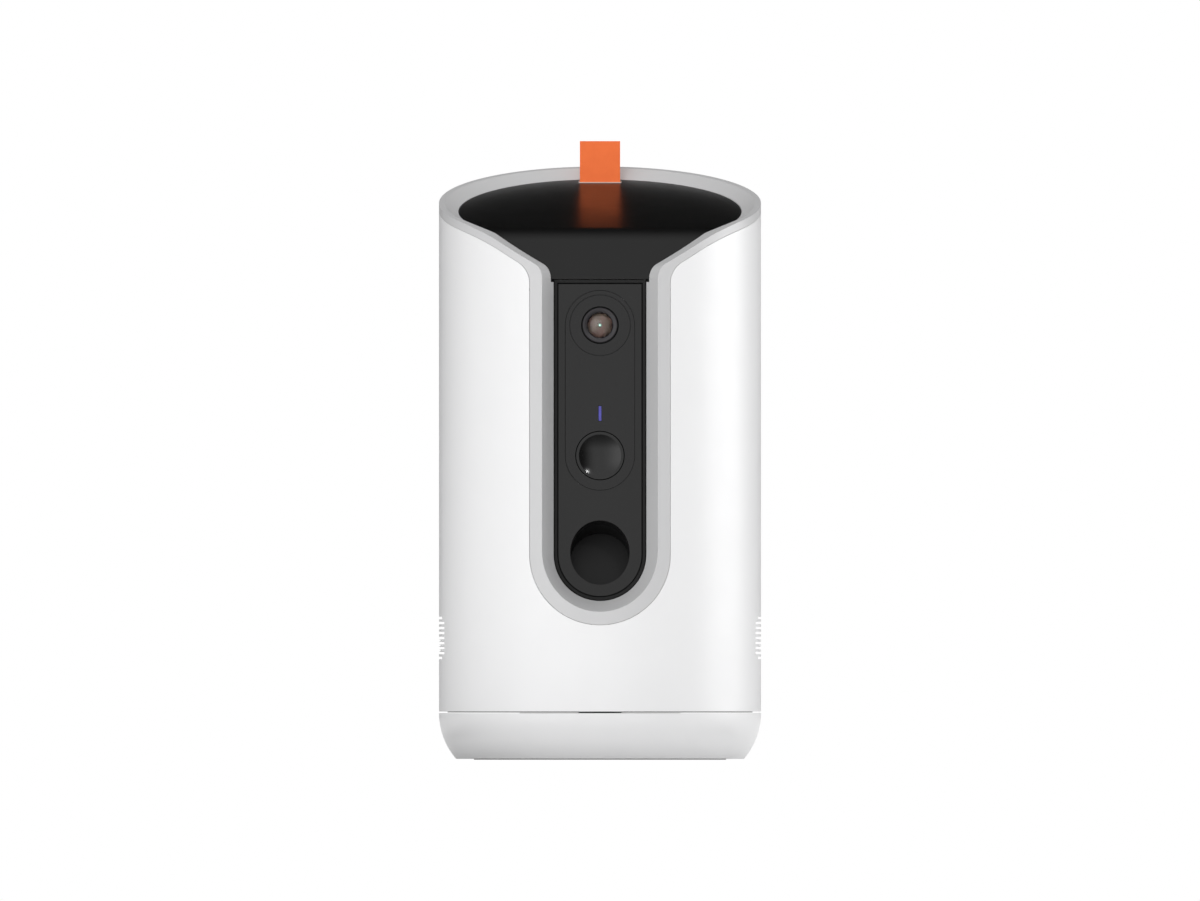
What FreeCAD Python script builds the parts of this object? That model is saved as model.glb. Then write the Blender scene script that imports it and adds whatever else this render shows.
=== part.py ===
import FreeCAD, Part
import math
import os

# Treat tossing pet camera. Millimetres, +Z up, front towards -Y.
# The origin is the middle of the face that the base stands on.

V = FreeCAD.Vector
X_AXIS = V(1, 0, 0)
Y_AXIS = V(0, 1, 0)
Z_AXIS = V(0, 0, 1)

# ---- overall sizes -------------------------------------------------------
body_radius = 60.0
rim_height = 207.4          # height of the slanted rim plane above the axis
rim_slope = 0.2275          # rise of the rim plane per millimetre towards the back
base_height = 17.3
turn_gap = 0.6              # open seam between the base and the turning body
shell_wall = 2.2
reach = 90.0                # half size of cutting blocks, beyond every piece

# ---- clearances ----------------------------------------------------------
run_gap = 0.3               # between pieces that move past each other
fit_gap = 0.05              # radial, shaft in bearing
seat_gap = 0.1              # between pieces that are put together
slide_fit = 0.1             # radial, piston in barrel

# ---- rim and channel bezel ----------------------------------------------
rim_band = 3.2              # height of the bezel's outer band above the shell
rim_width = 7.2             # from the body's surface to the lid's hole
ridge_width = 2.2
bevel_drop = 3.1            # the inner edge of the rim lies this far below its top
bezel_depth = 20.0          # how far the bezel reaches down inside the shell
channel_round_height = 76.4  # centre of the channel's round foot
band_half_width = 26.3      # parting line between shell and bezel
channel_half_width = 21.6   # channel edge at the body's surface
recess_half_width = 17.3    # channel at the panel
channel_foot_drop = 21.3    # channel edge below the round centre at the surface
flare_height = 185.6        # where the two flares would meet on the rim's slope
flare_slope = 0.48
shoulder_radius = 40.0
shell_flare_radius = 8.0
channel_flare_radius = 6.0
bezel_step_height = 178.0   # top of the bezel's block beside the panel

# ---- panel ---------------------------------------------------------------
channel_depth = 12.5        # of the panel's face behind the body's foremost line
panel_thickness = 2.5
panel_half_width = 15.5
panel_top = 177.2
trim_half_width = 17.0
trim_width = 1.1
trim_gap = 0.5              # between the panel's top edge and the trim above it
carrier_thickness = 1.5
carrier_half_width = 22.0
window_half_width = 12.85
window_depth = 0.8
window_gap = 0.15

# ---- camera, light and button -------------------------------------------
camera_height = 161.9
camera_radius = 7.0
lens_radius = 4.66
lens_dome_radius = 8.0
lens_recess = 0.6
camera_barrel_length = 14.2
camera_setback = 0.2        # of the barrel behind the panel's face
camera_gap = 0.35
lens_seat_depth = 4.0
lens_cone_width = 1.4
lens_cone_depth = 0.8
camera_mount_radius = 11.0
camera_mount_length = 10.5
camera_board_size = 24.0
camera_chip_half_width = 4.0
chip_height = 1.2
board_thickness = 1.2
light_rise = 15.7           # above the button's middle
light_width = 1.0
light_length = 5.5
light_setback = 0.05
button_height = 113.3
button_radius = 9.2
button_gap = 0.3
button_travel = 0.8
button_cap_thickness = 2.6
button_flange = 0.85
button_flange_thickness = 0.8
button_stem_radius = 2.5
button_stem_length = 2.9
dish_radius = 7.9
dish_depth = 1.8
switch_half_width = 3.0
switch_height = 1.8
button_board_half_width = 9.5
button_board_drop = 12.8    # below the button's middle
button_board_rise = 6.0     # above the light
board_post_radius = 1.8
board_post_spread = 7.5
board_post_inset = 3.0      # from the end of the button board

# ---- treat tosser --------------------------------------------------------
outlet_height = 77.15
launch_angle = 22.5
bore_radius = 11.05
barrel_wall = 1.55
barrel_length = 60.0
striker_recess = 8.0
striker_stroke = 20.0
striker_length = 20.0
striker_wall = 1.65
striker_face_thickness = 2.0
end_cap_thickness = 2.5
end_cap_plug = 2.5
spring_radius = 8.1
spring_wire = 1.0
spring_turns = 8
gear_module = 1.0
addendum = 0.8              # these five are in modules
dedendum = 1.1
root_widening = 0.36
tip_narrowing = 0.3
rack_root_widening = 0.4
tooth_half_share = 0.2      # half of a tooth, as a share of the pitch
sector_teeth = 20           # count of a full circle of the sector gear
sector_used_teeth = 8
sector_width = 6.0
rack_pitch_drop = 15.6      # rack pitch line below the barrel's axis
rack_mesh_place = 34.0      # along the barrel
rack_back = 1.5
rack_tail = 6.3             # pitches of bar behind the mesh
rack_lead = 1.4             # pitches of bar ahead of it
leg_half_width = 1.9
leg_start = 23.0
leg_length = 5.0
wheel_teeth = 28
wheel_width = 4.0
wheel_place = 6.5
wheel_hub_wall = 2.5
pinion_teeth = 10
wind_motor_setback = 39.5   # behind the panel's face
motor_radius = 7.5
wind_motor_end_gap = 2.95   # to the speaker housing
motor_shaft_reach = 2.0     # of the shaft in the motor
motor_shaft_radius = 1.0
gear_shaft_radius = 1.5
cheek_thickness = 2.0
cheek_setback = 11.5        # behind the panel's face
cheek_foot_length = 32.0
cheek_length = 40.0
cheek_knee_rise = 22.4
cheek_gap = 0.15
cradle_width = 12.0
cradle_inset = 4.0
cradle_shoulder = 1.0

# ---- hopper and doser ----------------------------------------------------
hopper_inset = 2.8          # inside the lid's hole
hopper_setback = 27.5       # of its front behind the panel's face
hopper_wall = 1.6
well_radius = 30.3
well_y = 12.0
well_floor = 103.0
well_top = 119.0
funnel_top = 141.0
funnel_spread = 8.0         # of the funnel's mouth beyond the hopper's wall
funnel_drop = 0.8           # of its outside, for an even wall
drop_reach = 20.0           # pocket centre from the rotor's axis
drop_radius = 8.0
pocket_radius = 8.2
pocket_count = 4
rotor_headroom = 3.0        # under the top of the dosing well
rotor_hub_radius = 5.0
rotor_tip_radius = 1.5
rotor_hub_height = 6.5
rotor_shaft_radius = 2.0
rotor_shaft_depth = 6.0     # below the dosing well
shield_half_width = 10.0
shield_back = 2.0
shield_thickness = 1.6
chute_wall = 1.5
chute_foot_setback = 19.0   # behind the panel's face
chute_foot_drop = 1.15      # below the outlet's middle
chute_overrun = 12.0
dosing_motor_length = 23.4
motor_ear_half_width = 12.0
motor_ear_half_depth = 4.0
motor_ear_thickness = 1.0
main_board_half_width = 16.0
main_board_bottom = 124.0
main_board_top = 172.0
main_board_thickness = 1.6
main_chip_half_width = 6.0
boss_length = 3.8
boss_radius = 2.0
boss_spread = 12.0
boss_heights = (142.0, 166.0)
cover_height = 174.6
cover_thickness = 1.6

# ---- lid -----------------------------------------------------------------
lid_wall = 2.4
lid_foot = 179.1            # lowest edge of the lid's apron
apron_slope = 1.11
apron_gap = 0.3             # between the panel's face and the lid's lowest edge
knee_radius = 15.0
lid_skirt_depth = 8.0
lid_skirt_width = 2.5
seal_depth = 10.6
hopper_top_drop = 10.9
liner_depth = 12.0
liner_wall = 1.6
liner_top = 2.5
liner_gap = 0.5
tab_width = 15.0
tab_thickness = 2.0
tab_inset = 4.8             # inside the lid's hole
tab_top = 230.5
tab_foot_length = 6.0
tab_foot_thickness = 1.4
lid_screw_radius = 1.2
lid_screw_head_height = 1.0
lid_screw_side_inset = 16.0  # inside the hopper's wall
lid_screw_back_inset = 14.0
lid_screw_front_inset = 8.0
lid_screw_side_y = 5.0

# ---- turntable, pan drive and base --------------------------------------
core_inset = 3.2            # of the edge seen in the seam
core_height = 1.0
turntable_thickness = 5.0
axle_radius = 8.0
axle_bore_radius = 5.5
axle_height = 28.5
axle_flange_radius = 16.0
axle_flange_thickness = 2.5
pan_gear_teeth = 24
pan_gear_width = 4.0
pan_gear_rise = 0.6         # above the turntable
pan_motor_top_gap = 0.6     # below the launch barrel's end
pan_motor_rise = 6.1        # above the turntable
pan_ear_spread = 10.5
pan_ear_margin = 2.5
standoff_radius = 2.0
standoff_inset = 3.0
post_radius = 3.0
post_inset = 2.0            # inside the hopper's wall
post_angles = (25.0, 90.0, 155.0)
speaker_height = 45.3
speaker_radius = 12.5
speaker_gap = 3.6           # behind the grille's wall
speaker_depth = 13.2
speaker_back = 2.0
speaker_magnet_length = 4.5
speaker_rim = 1.0
cone_throat_radius = 4.0
cone_length = 4.0
cone_depth = 3.5
speaker_half_width = 15.0
speaker_top = 60.5
base_arc_radius = 25.9
base_wall = 2.4
base_deck = 2.2
base_foot_gap = 0.3
plate_bottom = 0.8
plate_thickness = 2.2
plate_inset = 10.0
foot_inset = 3.0            # inside the plate's edge
foot_width = 6.0
foot_height = 1.6
washer_inner_radius = 20.0
washer_outer_radius = 30.0
washer_seat = 0.8
washer_rise = 0.15
ballast_inner_radius = 10.0
ballast_gap = 1.5           # in front of the power board
ballast_height = 8.0
base_screw_inset = 5.0      # inside the foot ring
base_boss_radius = 3.2
base_screw_radius = 1.25
base_screw_head_radius = 2.7
base_screw_head_height = 1.2
base_screw_length = 8.0
socket_height = 8.5
socket_half_width = 4.5
socket_half_height = 1.65
socket_length = 7.3
socket_metal = 0.35
tongue_inset = 1.2
tongue_setback = 0.8
tongue_back = 0.5
pocket_half_width = 6.5
pocket_half_height = 3.3
pocket_depth = 6.5
pocket_wall = 1.5
power_board_half_width = 12.0
power_board_length = 22.5   # in front of the pocket's floor
coil_size = 6.0
coil_height = 3.3
coil_inset = 2.0
coil_setback = 8.0

# ---- sound grilles -------------------------------------------------------
grille_rows = 9
grille_pitch = 1.86
grille_slot = 0.9
grille_half_length = 15.5
grille_short_half_length = 11.8
grille_cut_depth = 8.0

# ---- worked out from the sizes above ------------------------------------
body_bottom = base_height + turn_gap
shell_inner_radius = body_radius - shell_wall
rim_inner_radius = body_radius - rim_width
panel_face = channel_depth - body_radius
panel_back = panel_face + panel_thickness
carrier_back = panel_back + carrier_thickness
lid_radius = rim_inner_radius - run_gap
lid_height = rim_height - bevel_drop
apron_start = panel_face + apron_gap
tab_y = rim_inner_radius - tab_inset
hopper_radius = rim_inner_radius - hopper_inset
hopper_front = panel_face + hopper_setback
hopper_face = hopper_front - hopper_wall
funnel_radius = hopper_radius + funnel_spread
drop_y = well_y - drop_reach
well_foot = well_floor - hopper_wall
rotor_height = well_top - well_floor - rotor_headroom
post_reach = hopper_radius - post_inset
light_height = button_height + light_rise
button_board_bottom = button_height - button_board_drop
button_board_top = light_height + button_board_rise
turntable_bottom = base_height + run_gap
turntable_top = turntable_bottom + turntable_thickness
turntable_radius = shell_inner_radius - run_gap
core_radius = body_radius - core_inset
barrel_radius = bore_radius + barrel_wall
sector_radius = sector_teeth * gear_module / 2
wheel_radius = wheel_teeth * gear_module / 2
pinion_radius = pinion_teeth * gear_module / 2
pan_gear_radius = pan_gear_teeth * gear_module / 2
pan_motor_y = pan_gear_radius + pinion_radius
rack_pitch = math.pi * gear_module
rack_root_drop = rack_pitch_drop - dedendum * gear_module
cheek_inner = barrel_radius + cheek_gap
cheek_outer = cheek_inner + cheek_thickness
cheek_front = panel_face + cheek_setback
wind_motor_y = panel_face + wind_motor_setback
chute_foot_y = panel_face + chute_foot_setback
chute_foot_height = outlet_height - chute_foot_drop
speaker_outer = shell_inner_radius - speaker_gap
speaker_inner = speaker_outer - speaker_depth
plate_top = plate_bottom + plate_thickness
plate_radius = body_radius - plate_inset
foot_outer_radius = plate_radius - foot_inset
foot_inner_radius = foot_outer_radius - foot_width
base_screw_reach = foot_inner_radius - base_screw_inset
base_deck_bottom = base_height - base_deck
pocket_floor = body_radius - pocket_depth
power_board_front = pocket_floor - power_board_length
ballast_outer_radius = power_board_front - ballast_gap
launch_cos = math.cos(math.radians(launch_angle))
launch_sin = math.sin(math.radians(launch_angle))
barrel_direction = V(0, launch_cos, -launch_sin)
outlet = V(0, panel_face, outlet_height)


# ---- helpers -------------------------------------------------------------
def cylinder(radius, low, high, x=0.0, y=0.0):
    return Part.makeCylinder(radius, high - low, V(x, y, low), Z_AXIS)


def ring(outer, inner, low, high, x=0.0, y=0.0):
    bore = cylinder(inner, low - 1, high + 1, x, y)
    return cylinder(outer, low, high, x, y).cut(bore)


def rod(radius, start, end):
    span = end.sub(start)
    return Part.makeCylinder(radius, span.Length, start, span)


def block(x_low, x_high, y_low, y_high, z_low, z_high):
    corner = V(x_low, y_low, z_low)
    return Part.makeBox(x_high - x_low, y_high - y_low, z_high - z_low, corner)


def wide_block(half_width, y_low, y_high, z_low, z_high):
    return block(-half_width, half_width, y_low, y_high, z_low, z_high)


def prism_x(points, x_low, x_high):
    """Polygon of (y, z) points drawn out along X."""
    corners = [V(x_low, y, z) for y, z in points]
    face = Part.Face(Part.makePolygon(corners + corners[:1]))
    return face.extrude(V(x_high - x_low, 0, 0))


def slanted_slab(low, high):
    """Space between two planes parallel to the rim, by their heights above the axis."""
    rise = reach * rim_slope
    points = [(-reach, low - rise), (reach, low + rise), (reach, high + rise), (-reach, high - rise)]
    return prism_x(points, -reach, reach)


def front_rod(radius, y_low, y_high, height, x=0.0):
    return rod(radius, V(x, y_low, height), V(x, y_high, height))


def in_barrel_frame(shape):
    """Move a shape drawn with Z along the barrel and Y downwards to the barrel."""
    turn = FreeCAD.Rotation(X_AXIS, -90 - launch_angle)
    shape.Placement = FreeCAD.Placement(outlet, turn)
    return shape


def barrel_rod(radius, start, end):
    first = outlet.add(V(barrel_direction).multiply(start))
    last = outlet.add(V(barrel_direction).multiply(end))
    return rod(radius, first, last)


def closed_face(edges):
    return Part.Face(Part.Wire(Part.__sortEdges__(edges)))


def line(first, second):
    return Part.LineSegment(first, second).toShape()


def arc(first, middle, last):
    return Part.Arc(first, middle, last).toShape()


def stadium_prism(half_width, round_height, top, y_low, y_high):
    """Upright slab with a round foot and a flat top."""
    foot = front_rod(half_width, y_low, y_high, round_height)
    return foot.fuse(wide_block(half_width, y_low, y_high, round_height, top))


def slot_prism(half_width, low_centre, high_centre, y_low, y_high):
    """Upright slab with both ends round."""
    body = stadium_prism(half_width, low_centre, high_centre, y_low, y_high)
    return body.fuse(front_rod(half_width, y_low, y_high, high_centre))


# ---- outline of the channel, its flares and the rim ----------------------
def flare_numbers(half_width, fillet, lift, y):
    """Heights and places where the outline's curves meet, at one depth."""
    angle = math.atan(flare_slope)
    flare_base = flare_height - lift + rim_slope * y
    rim_level = rim_height - lift + rim_slope * y
    fillet_x = half_width + fillet * (1 - math.sin(angle))
    fillet_z = flare_base + flare_slope * fillet_x
    fillet_start = fillet_z - fillet * math.cos(angle)
    corner_x = (rim_level - flare_base) / flare_slope
    shoulder_length = shoulder_radius * math.tan(angle / 2)
    return angle, rim_level, fillet_x, fillet_z, fillet_start, corner_x, shoulder_length


def upper_edges(half_width, fillet, lift, y, side):
    """Edges of one side of the outline, from the channel's side up to the rim's end."""
    numbers = flare_numbers(half_width, fillet, lift, y)
    angle, rim_level, fillet_x, fillet_z, fillet_start, corner_x, shoulder_length = numbers
    centre_x = half_width + fillet
    middle_angle = math.pi - (math.pi / 2 - angle) / 2
    start = V(side * half_width, y, fillet_start)
    middle_x = centre_x + fillet * math.cos(middle_angle)
    middle = V(side * middle_x, y, fillet_start + fillet * math.sin(middle_angle))
    end = V(side * fillet_x, y, fillet_z)
    shoulder_x = corner_x - shoulder_length * math.cos(angle)
    shoulder_z = rim_level - shoulder_length * math.sin(angle)
    shoulder = V(side * shoulder_x, y, shoulder_z)
    level_x = corner_x + shoulder_length
    bend_x = level_x - shoulder_radius * math.sin(angle / 2)
    bend_z = rim_level - shoulder_radius * (1 - math.cos(angle / 2))
    bend = V(side * bend_x, y, bend_z)
    level = V(side * level_x, y, rim_level)
    corner = V(side * reach, y, rim_level)
    return [arc(start, middle, end), line(end, shoulder), arc(shoulder, bend, level), line(level, corner)]


def top_edges(lift, y):
    rim_level = rim_height - lift + rim_slope * y
    roof = rim_height + reach
    left_up = line(V(-reach, y, rim_level), V(-reach, y, roof))
    roof_line = line(V(-reach, y, roof), V(reach, y, roof))
    right_up = line(V(reach, y, roof), V(reach, y, rim_level))
    return [left_up, roof_line, right_up]


def upper_prism(half_width, fillet, lift, y_low, y_high):
    """Everything above the flares and the rim plane, drawn back along the rim's slope."""
    start_height = flare_numbers(half_width, fillet, lift, y_low)[4]
    floor = line(V(-half_width, y_low, start_height), V(half_width, y_low, start_height))
    edges = [floor] + top_edges(lift, y_low)
    for side in (-1, 1):
        edges += upper_edges(half_width, fillet, lift, y_low, side)
    depth = y_high - y_low
    return closed_face(edges).extrude(V(0, depth, depth * rim_slope))


def channel_prism(half_width, y_low, y_high, top):
    return stadium_prism(half_width, channel_round_height, top, y_low, y_high)


def mouth_wire(half_width, round_height, y):
    """Closed outline of the channel with its flares, at one depth."""
    fillet = channel_flare_radius
    start_height = flare_numbers(half_width, fillet, 0.0, y)[4]
    foot = V(0, y, round_height - half_width)
    left = V(-half_width, y, round_height)
    right = V(half_width, y, round_height)
    edges = [arc(left, foot, right)] + top_edges(0.0, y)
    for side in (-1, 1):
        edges.append(line(V(side * half_width, y, round_height), V(side * half_width, y, start_height)))
        edges += upper_edges(half_width, fillet, 0.0, y, side)
    return Part.Wire(Part.__sortEdges__(edges))


def mouth_tool():
    """The tapering channel mouth: wide at the surface, narrow at the panel."""
    front = -body_radius - 2
    edge_depth = math.sqrt(body_radius ** 2 - channel_half_width ** 2) + panel_face
    widening = (channel_half_width - recess_half_width) / edge_depth
    front_half_width = recess_half_width + widening * (panel_face - front)
    foot_at_panel = channel_round_height - recess_half_width
    foot_at_surface = channel_round_height - channel_foot_drop
    falling = (foot_at_panel - foot_at_surface) / (body_radius + panel_face)
    front_foot = foot_at_panel - falling * (panel_face - front)
    outer = mouth_wire(front_half_width, front_foot + front_half_width, front)
    inner = mouth_wire(recess_half_width, channel_round_height, panel_face)
    return Part.makeLoft([outer, inner], True, True)


def bevel_tool():
    """Cuts the rim's inner bevel; a cone leaned over to follow the rim plane."""
    ridge_radius = body_radius - ridge_width
    spread = (ridge_radius - rim_inner_radius) / bevel_drop
    over = 1.0
    low_radius = rim_inner_radius - spread * over
    high_radius = ridge_radius + spread * over
    low = rim_height - bevel_drop - over
    cone = Part.makeCone(low_radius, high_radius, bevel_drop + 2 * over, V(0, 0, low), Z_AXIS)
    lean = FreeCAD.Matrix()
    lean.A32 = rim_slope
    return cone.transformGeometry(lean)


# ---- base ----------------------------------------------------------------
def base_bowl(wall, low, high):
    """Round solid inside the base's curved side."""
    centre = body_radius - base_arc_radius
    radius = base_arc_radius - wall
    def side(height):
        return centre + math.sqrt(radius ** 2 - (base_height - height) ** 2)
    middle = (low + high) / 2
    foot = V(side(low), 0, low)
    top = V(side(high), 0, high)
    edges = [line(V(0, 0, low), foot), arc(foot, V(side(middle), 0, middle), top),
             line(top, V(0, 0, high)), line(V(0, 0, high), V(0, 0, low))]
    return closed_face(edges).revolve(V(0, 0, 0), Z_AXIS, 360)


def base_screw_places():
    angles = [math.radians(45 + 90 * index) for index in range(4)]
    return [(base_screw_reach * math.cos(a), base_screw_reach * math.sin(a)) for a in angles]


def base_shell():
    shell = base_bowl(0.0, base_foot_gap, base_height)
    room = base_bowl(base_wall, base_foot_gap, base_deck_bottom)
    pocket_box = wide_block(pocket_half_width + pocket_wall, pocket_floor - pocket_wall, body_radius,
                            socket_height - pocket_half_height - pocket_wall,
                            socket_height + pocket_half_height + pocket_wall)
    room = room.cut(pocket_box)
    for x, y in base_screw_places():
        room = room.cut(cylinder(base_boss_radius, plate_top, base_height, x, y))
    shell = shell.cut(room)
    pocket = wide_block(pocket_half_width, pocket_floor, body_radius + 1,
                        socket_height - pocket_half_height, socket_height + pocket_half_height)
    shell = shell.cut(pocket)
    shell = shell.cut(socket_block(seat_gap, pocket_floor - 2 * pocket_wall, pocket_floor + 1))
    for x, y in base_screw_places():
        shell = shell.cut(cylinder(base_screw_radius, plate_top - 1, plate_top + base_screw_length, x, y))
    shell = shell.cut(cylinder(axle_radius + seat_gap, base_deck_bottom - 1, base_height + 1))
    seat_low = base_height - washer_seat
    return shell.cut(ring(washer_outer_radius, washer_inner_radius, seat_low, base_height + 1))


def base_plate():
    plate = cylinder(plate_radius, plate_bottom, plate_top)
    plate = plate.cut(ring(foot_outer_radius, foot_inner_radius, 0, foot_height))
    for x, y in base_screw_places():
        plate = plate.cut(cylinder(base_screw_radius + seat_gap, 0, plate_top + 1, x, y))
        head_top = plate_bottom + base_screw_head_height
        plate = plate.cut(cylinder(base_screw_head_radius + seat_gap, 0, head_top, x, y))
    for side in (-1, 1):
        x = side * (power_board_half_width - standoff_inset)
        y = power_board_front + standoff_inset
        post = cylinder(standoff_radius, plate_top, power_board_bottom(), x, y)
        plate = plate.fuse(post)
    return plate.removeSplitter()


def foot_ring():
    return ring(foot_outer_radius, foot_inner_radius, 0, foot_height)


def base_screws():
    screws = []
    for x, y in base_screw_places():
        head = cylinder(base_screw_head_radius, plate_bottom, plate_bottom + base_screw_head_height, x, y)
        shank = cylinder(base_screw_radius, plate_bottom, plate_top + base_screw_length - seat_gap, x, y)
        screws.append(head.fuse(shank))
    return Part.makeCompound(screws)


def ballast_ring():
    return ring(ballast_outer_radius, ballast_inner_radius, plate_top, plate_top + ballast_height)


def thrust_washer():
    low = base_height - washer_seat
    return ring(washer_outer_radius, washer_inner_radius, low, base_height + washer_rise)


def pan_axle():
    flange_low = base_deck_bottom - axle_flange_thickness
    axle = cylinder(axle_radius, flange_low, axle_height)
    axle = axle.fuse(cylinder(axle_flange_radius, flange_low, base_deck_bottom))
    return axle.cut(cylinder(axle_bore_radius, flange_low - 1, axle_height + 1))


def socket_block(gap, front, back):
    half_width = socket_half_width + gap
    half_height = socket_half_height + gap
    return wide_block(half_width, front, back, socket_height - half_height, socket_height + half_height)


def power_socket():
    front = pocket_floor - socket_length
    can = socket_block(0.0, front, pocket_floor)
    can = can.cut(socket_block(-socket_metal, front + 1, pocket_floor + 1))
    tongue = wide_block(socket_half_width - tongue_inset, front + tongue_back, pocket_floor - tongue_setback,
                        socket_height - socket_metal, socket_height + socket_metal)
    return can.fuse(tongue)


def power_board_bottom():
    return socket_height - socket_half_height - board_thickness


def power_board():
    low = power_board_bottom()
    back = pocket_floor - pocket_wall - seat_gap
    board = wide_block(power_board_half_width, power_board_front, back, low, low + board_thickness)
    coil_x = coil_inset - power_board_half_width
    coil_y = power_board_front + coil_setback
    coil_low = low + board_thickness
    coil = block(coil_x, coil_x + coil_size, coil_y, coil_y + coil_size, coil_low, coil_low + coil_height)
    return board.fuse(coil)


# ---- gears ---------------------------------------------------------------
def gear_outline(teeth, used, first_angle):
    """Corner points of a spur gear in its own plane; unused teeth leave a plain rim."""
    pitch_radius = teeth * gear_module / 2
    tip = pitch_radius + addendum * gear_module
    root = pitch_radius - dedendum * gear_module
    step = 2 * math.pi / teeth
    pitch_half = tooth_half_share * step
    root_half = pitch_half + root_widening * gear_module / root
    tip_half = pitch_half - tip_narrowing * gear_module / tip
    points = []
    for index in range(teeth):
        centre = first_angle + index * step
        if index >= used:
            points.append((root * math.cos(centre), root * math.sin(centre)))
            continue
        for radius, half in ((root, -root_half), (pitch_radius, -pitch_half), (tip, -tip_half),
                             (tip, tip_half), (pitch_radius, pitch_half), (root, root_half)):
            angle = centre + half
            points.append((radius * math.cos(angle), radius * math.sin(angle)))
    return points


def gear_x(teeth, used, first_angle, y, z, x_low, width):
    """Spur gear about an axis along X; angles run from +Y towards +Z."""
    corners = [(y + a, z + b) for a, b in gear_outline(teeth, used, first_angle)]
    return prism_x(corners, x_low, x_low + width)


def gear_z(teeth, first_angle, x, y, low, width):
    corners = [V(x + a, y + b, low) for a, b in gear_outline(teeth, teeth, first_angle)]
    face = Part.Face(Part.makePolygon(corners + corners[:1]))
    return face.extrude(V(0, 0, width))


def pan_gear():
    low = turntable_top + pan_gear_rise
    gear = gear_z(pan_gear_teeth, math.pi / 2, 0, 0, low, pan_gear_width)
    return gear.cut(cylinder(axle_radius, low - 1, low + pan_gear_width + 1))


def pan_pinion():
    low = turntable_top + pan_gear_rise
    first = -math.pi / 2 + math.pi / pinion_teeth
    pinion = gear_z(pinion_teeth, first, 0, pan_motor_y, low, pan_gear_width)
    shaft_top = turntable_top + pan_motor_rise + motor_ear_thickness
    return pinion.fuse(cylinder(motor_shaft_radius, low, shaft_top, 0, pan_motor_y))


# ---- places in the tosser ------------------------------------------------
def barrel_point(along, under):
    """(y, z) of a point given along the barrel and below its axis."""
    y = panel_face + along * launch_cos - under * launch_sin
    z = outlet_height - along * launch_sin - under * launch_cos
    return y, z


def sector_centre():
    return barrel_point(rack_mesh_place, rack_pitch_drop + sector_radius)


def wind_motor_centre():
    y, z = sector_centre()
    distance = wheel_radius + pinion_radius
    drop = math.sqrt(distance ** 2 - (wind_motor_y - y) ** 2)
    return wind_motor_y, z - drop


def wind_mesh_angle():
    y, z = sector_centre()
    motor_y, motor_z = wind_motor_centre()
    return math.atan2(motor_z - z, motor_y - y)


def launch_barrel():
    tube = barrel_rod(barrel_radius, -10, barrel_length)
    tube = tube.cut(barrel_rod(bore_radius, -20, barrel_length + 1))
    tube = tube.cut(wide_block(reach, -reach, panel_back, 0, 2 * reach))
    slot_half = leg_half_width + run_gap
    slot_end = leg_start + leg_length + striker_stroke + run_gap
    slot = Part.makeBox(2 * slot_half, barrel_radius, slot_end - leg_start + run_gap,
                        V(-slot_half, bore_radius / 2, leg_start - run_gap))
    tube = tube.cut(in_barrel_frame(slot))
    return tube.cut(chute_rod(drop_radius))


def barrel_end_cap():
    cap = barrel_rod(barrel_radius, barrel_length, barrel_length + end_cap_thickness)
    return cap.fuse(barrel_rod(bore_radius - seat_gap, barrel_length - end_cap_plug, barrel_length))


def rack_teeth():
    """Straight teeth below the bar, in the barrel's frame."""
    tip = rack_pitch_drop + addendum * gear_module
    half = tooth_half_share * rack_pitch
    root_half = half + rack_root_widening * gear_module
    tip_half = half - tip_narrowing * gear_module
    teeth = []
    for index in range(sector_used_teeth + 1):
        middle = rack_mesh_place + (1 - index) * rack_pitch
        corners = [(rack_root_drop, middle - root_half), (rack_pitch_drop, middle - half),
                   (tip, middle - tip_half), (tip, middle + tip_half),
                   (rack_pitch_drop, middle + half), (rack_root_drop, middle + root_half)]
        points = [V(-sector_width / 2, under, along) for under, along in corners]
        face = Part.Face(Part.makePolygon(points + points[:1]))
        teeth.append(in_barrel_frame(face.extrude(V(sector_width, 0, 0))))
    return teeth


def striker():
    radius = bore_radius - slide_fit
    start = striker_recess
    piston = barrel_rod(radius, start, start + striker_length)
    hollow = barrel_rod(radius - striker_wall, start + striker_face_thickness, start + striker_length + 1)
    piston = piston.cut(hollow)
    bar_low = rack_root_drop - rack_back
    leg_low = radius - striker_wall / 2
    leg = Part.makeBox(2 * leg_half_width, bar_low + rack_back / 2 - leg_low, leg_length,
                       V(-leg_half_width, leg_low, leg_start))
    bar_start = rack_mesh_place - (rack_tail + 1) * rack_pitch
    bar_end = rack_mesh_place + rack_lead * rack_pitch
    bar = Part.makeBox(sector_width, rack_back, bar_end - bar_start,
                       V(-sector_width / 2, bar_low, bar_start))
    piston = piston.fuse([in_barrel_frame(leg), in_barrel_frame(bar)] + rack_teeth())
    return piston.removeSplitter()


def striker_spring():
    start = striker_recess + striker_face_thickness + seat_gap
    end = barrel_length - end_cap_plug - seat_gap
    height = end - start - spring_wire
    pitch = height / spring_turns
    helix = Part.makeHelix(pitch, height, spring_radius)
    profile = Part.Wire(Part.makeCircle(spring_wire / 2, V(spring_radius, 0, 0), Y_AXIS))
    coil = Part.Wire(helix.Edges).makePipeShell([profile], True, True)
    coil.translate(V(0, 0, start + spring_wire / 2))
    turn = FreeCAD.Rotation(X_AXIS, -90 - launch_angle)
    coil.Placement = FreeCAD.Placement(outlet, turn).multiply(coil.Placement)
    return coil


def sector_gear():
    y, z = sector_centre()
    tooth_step = 2 * math.pi / sector_teeth
    first = math.radians(90 - launch_angle) - tooth_step / 2
    gear = gear_x(sector_teeth, sector_used_teeth, first, y, z, -sector_width / 2, sector_width)
    shaft = rod(gear_shaft_radius, V(-cheek_outer, y, z), V(cheek_outer, y, z))
    hub = rod(gear_shaft_radius + wheel_hub_wall, V(0, y, z), V(wheel_place, y, z))
    return gear.fuse([shaft, hub])


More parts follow.
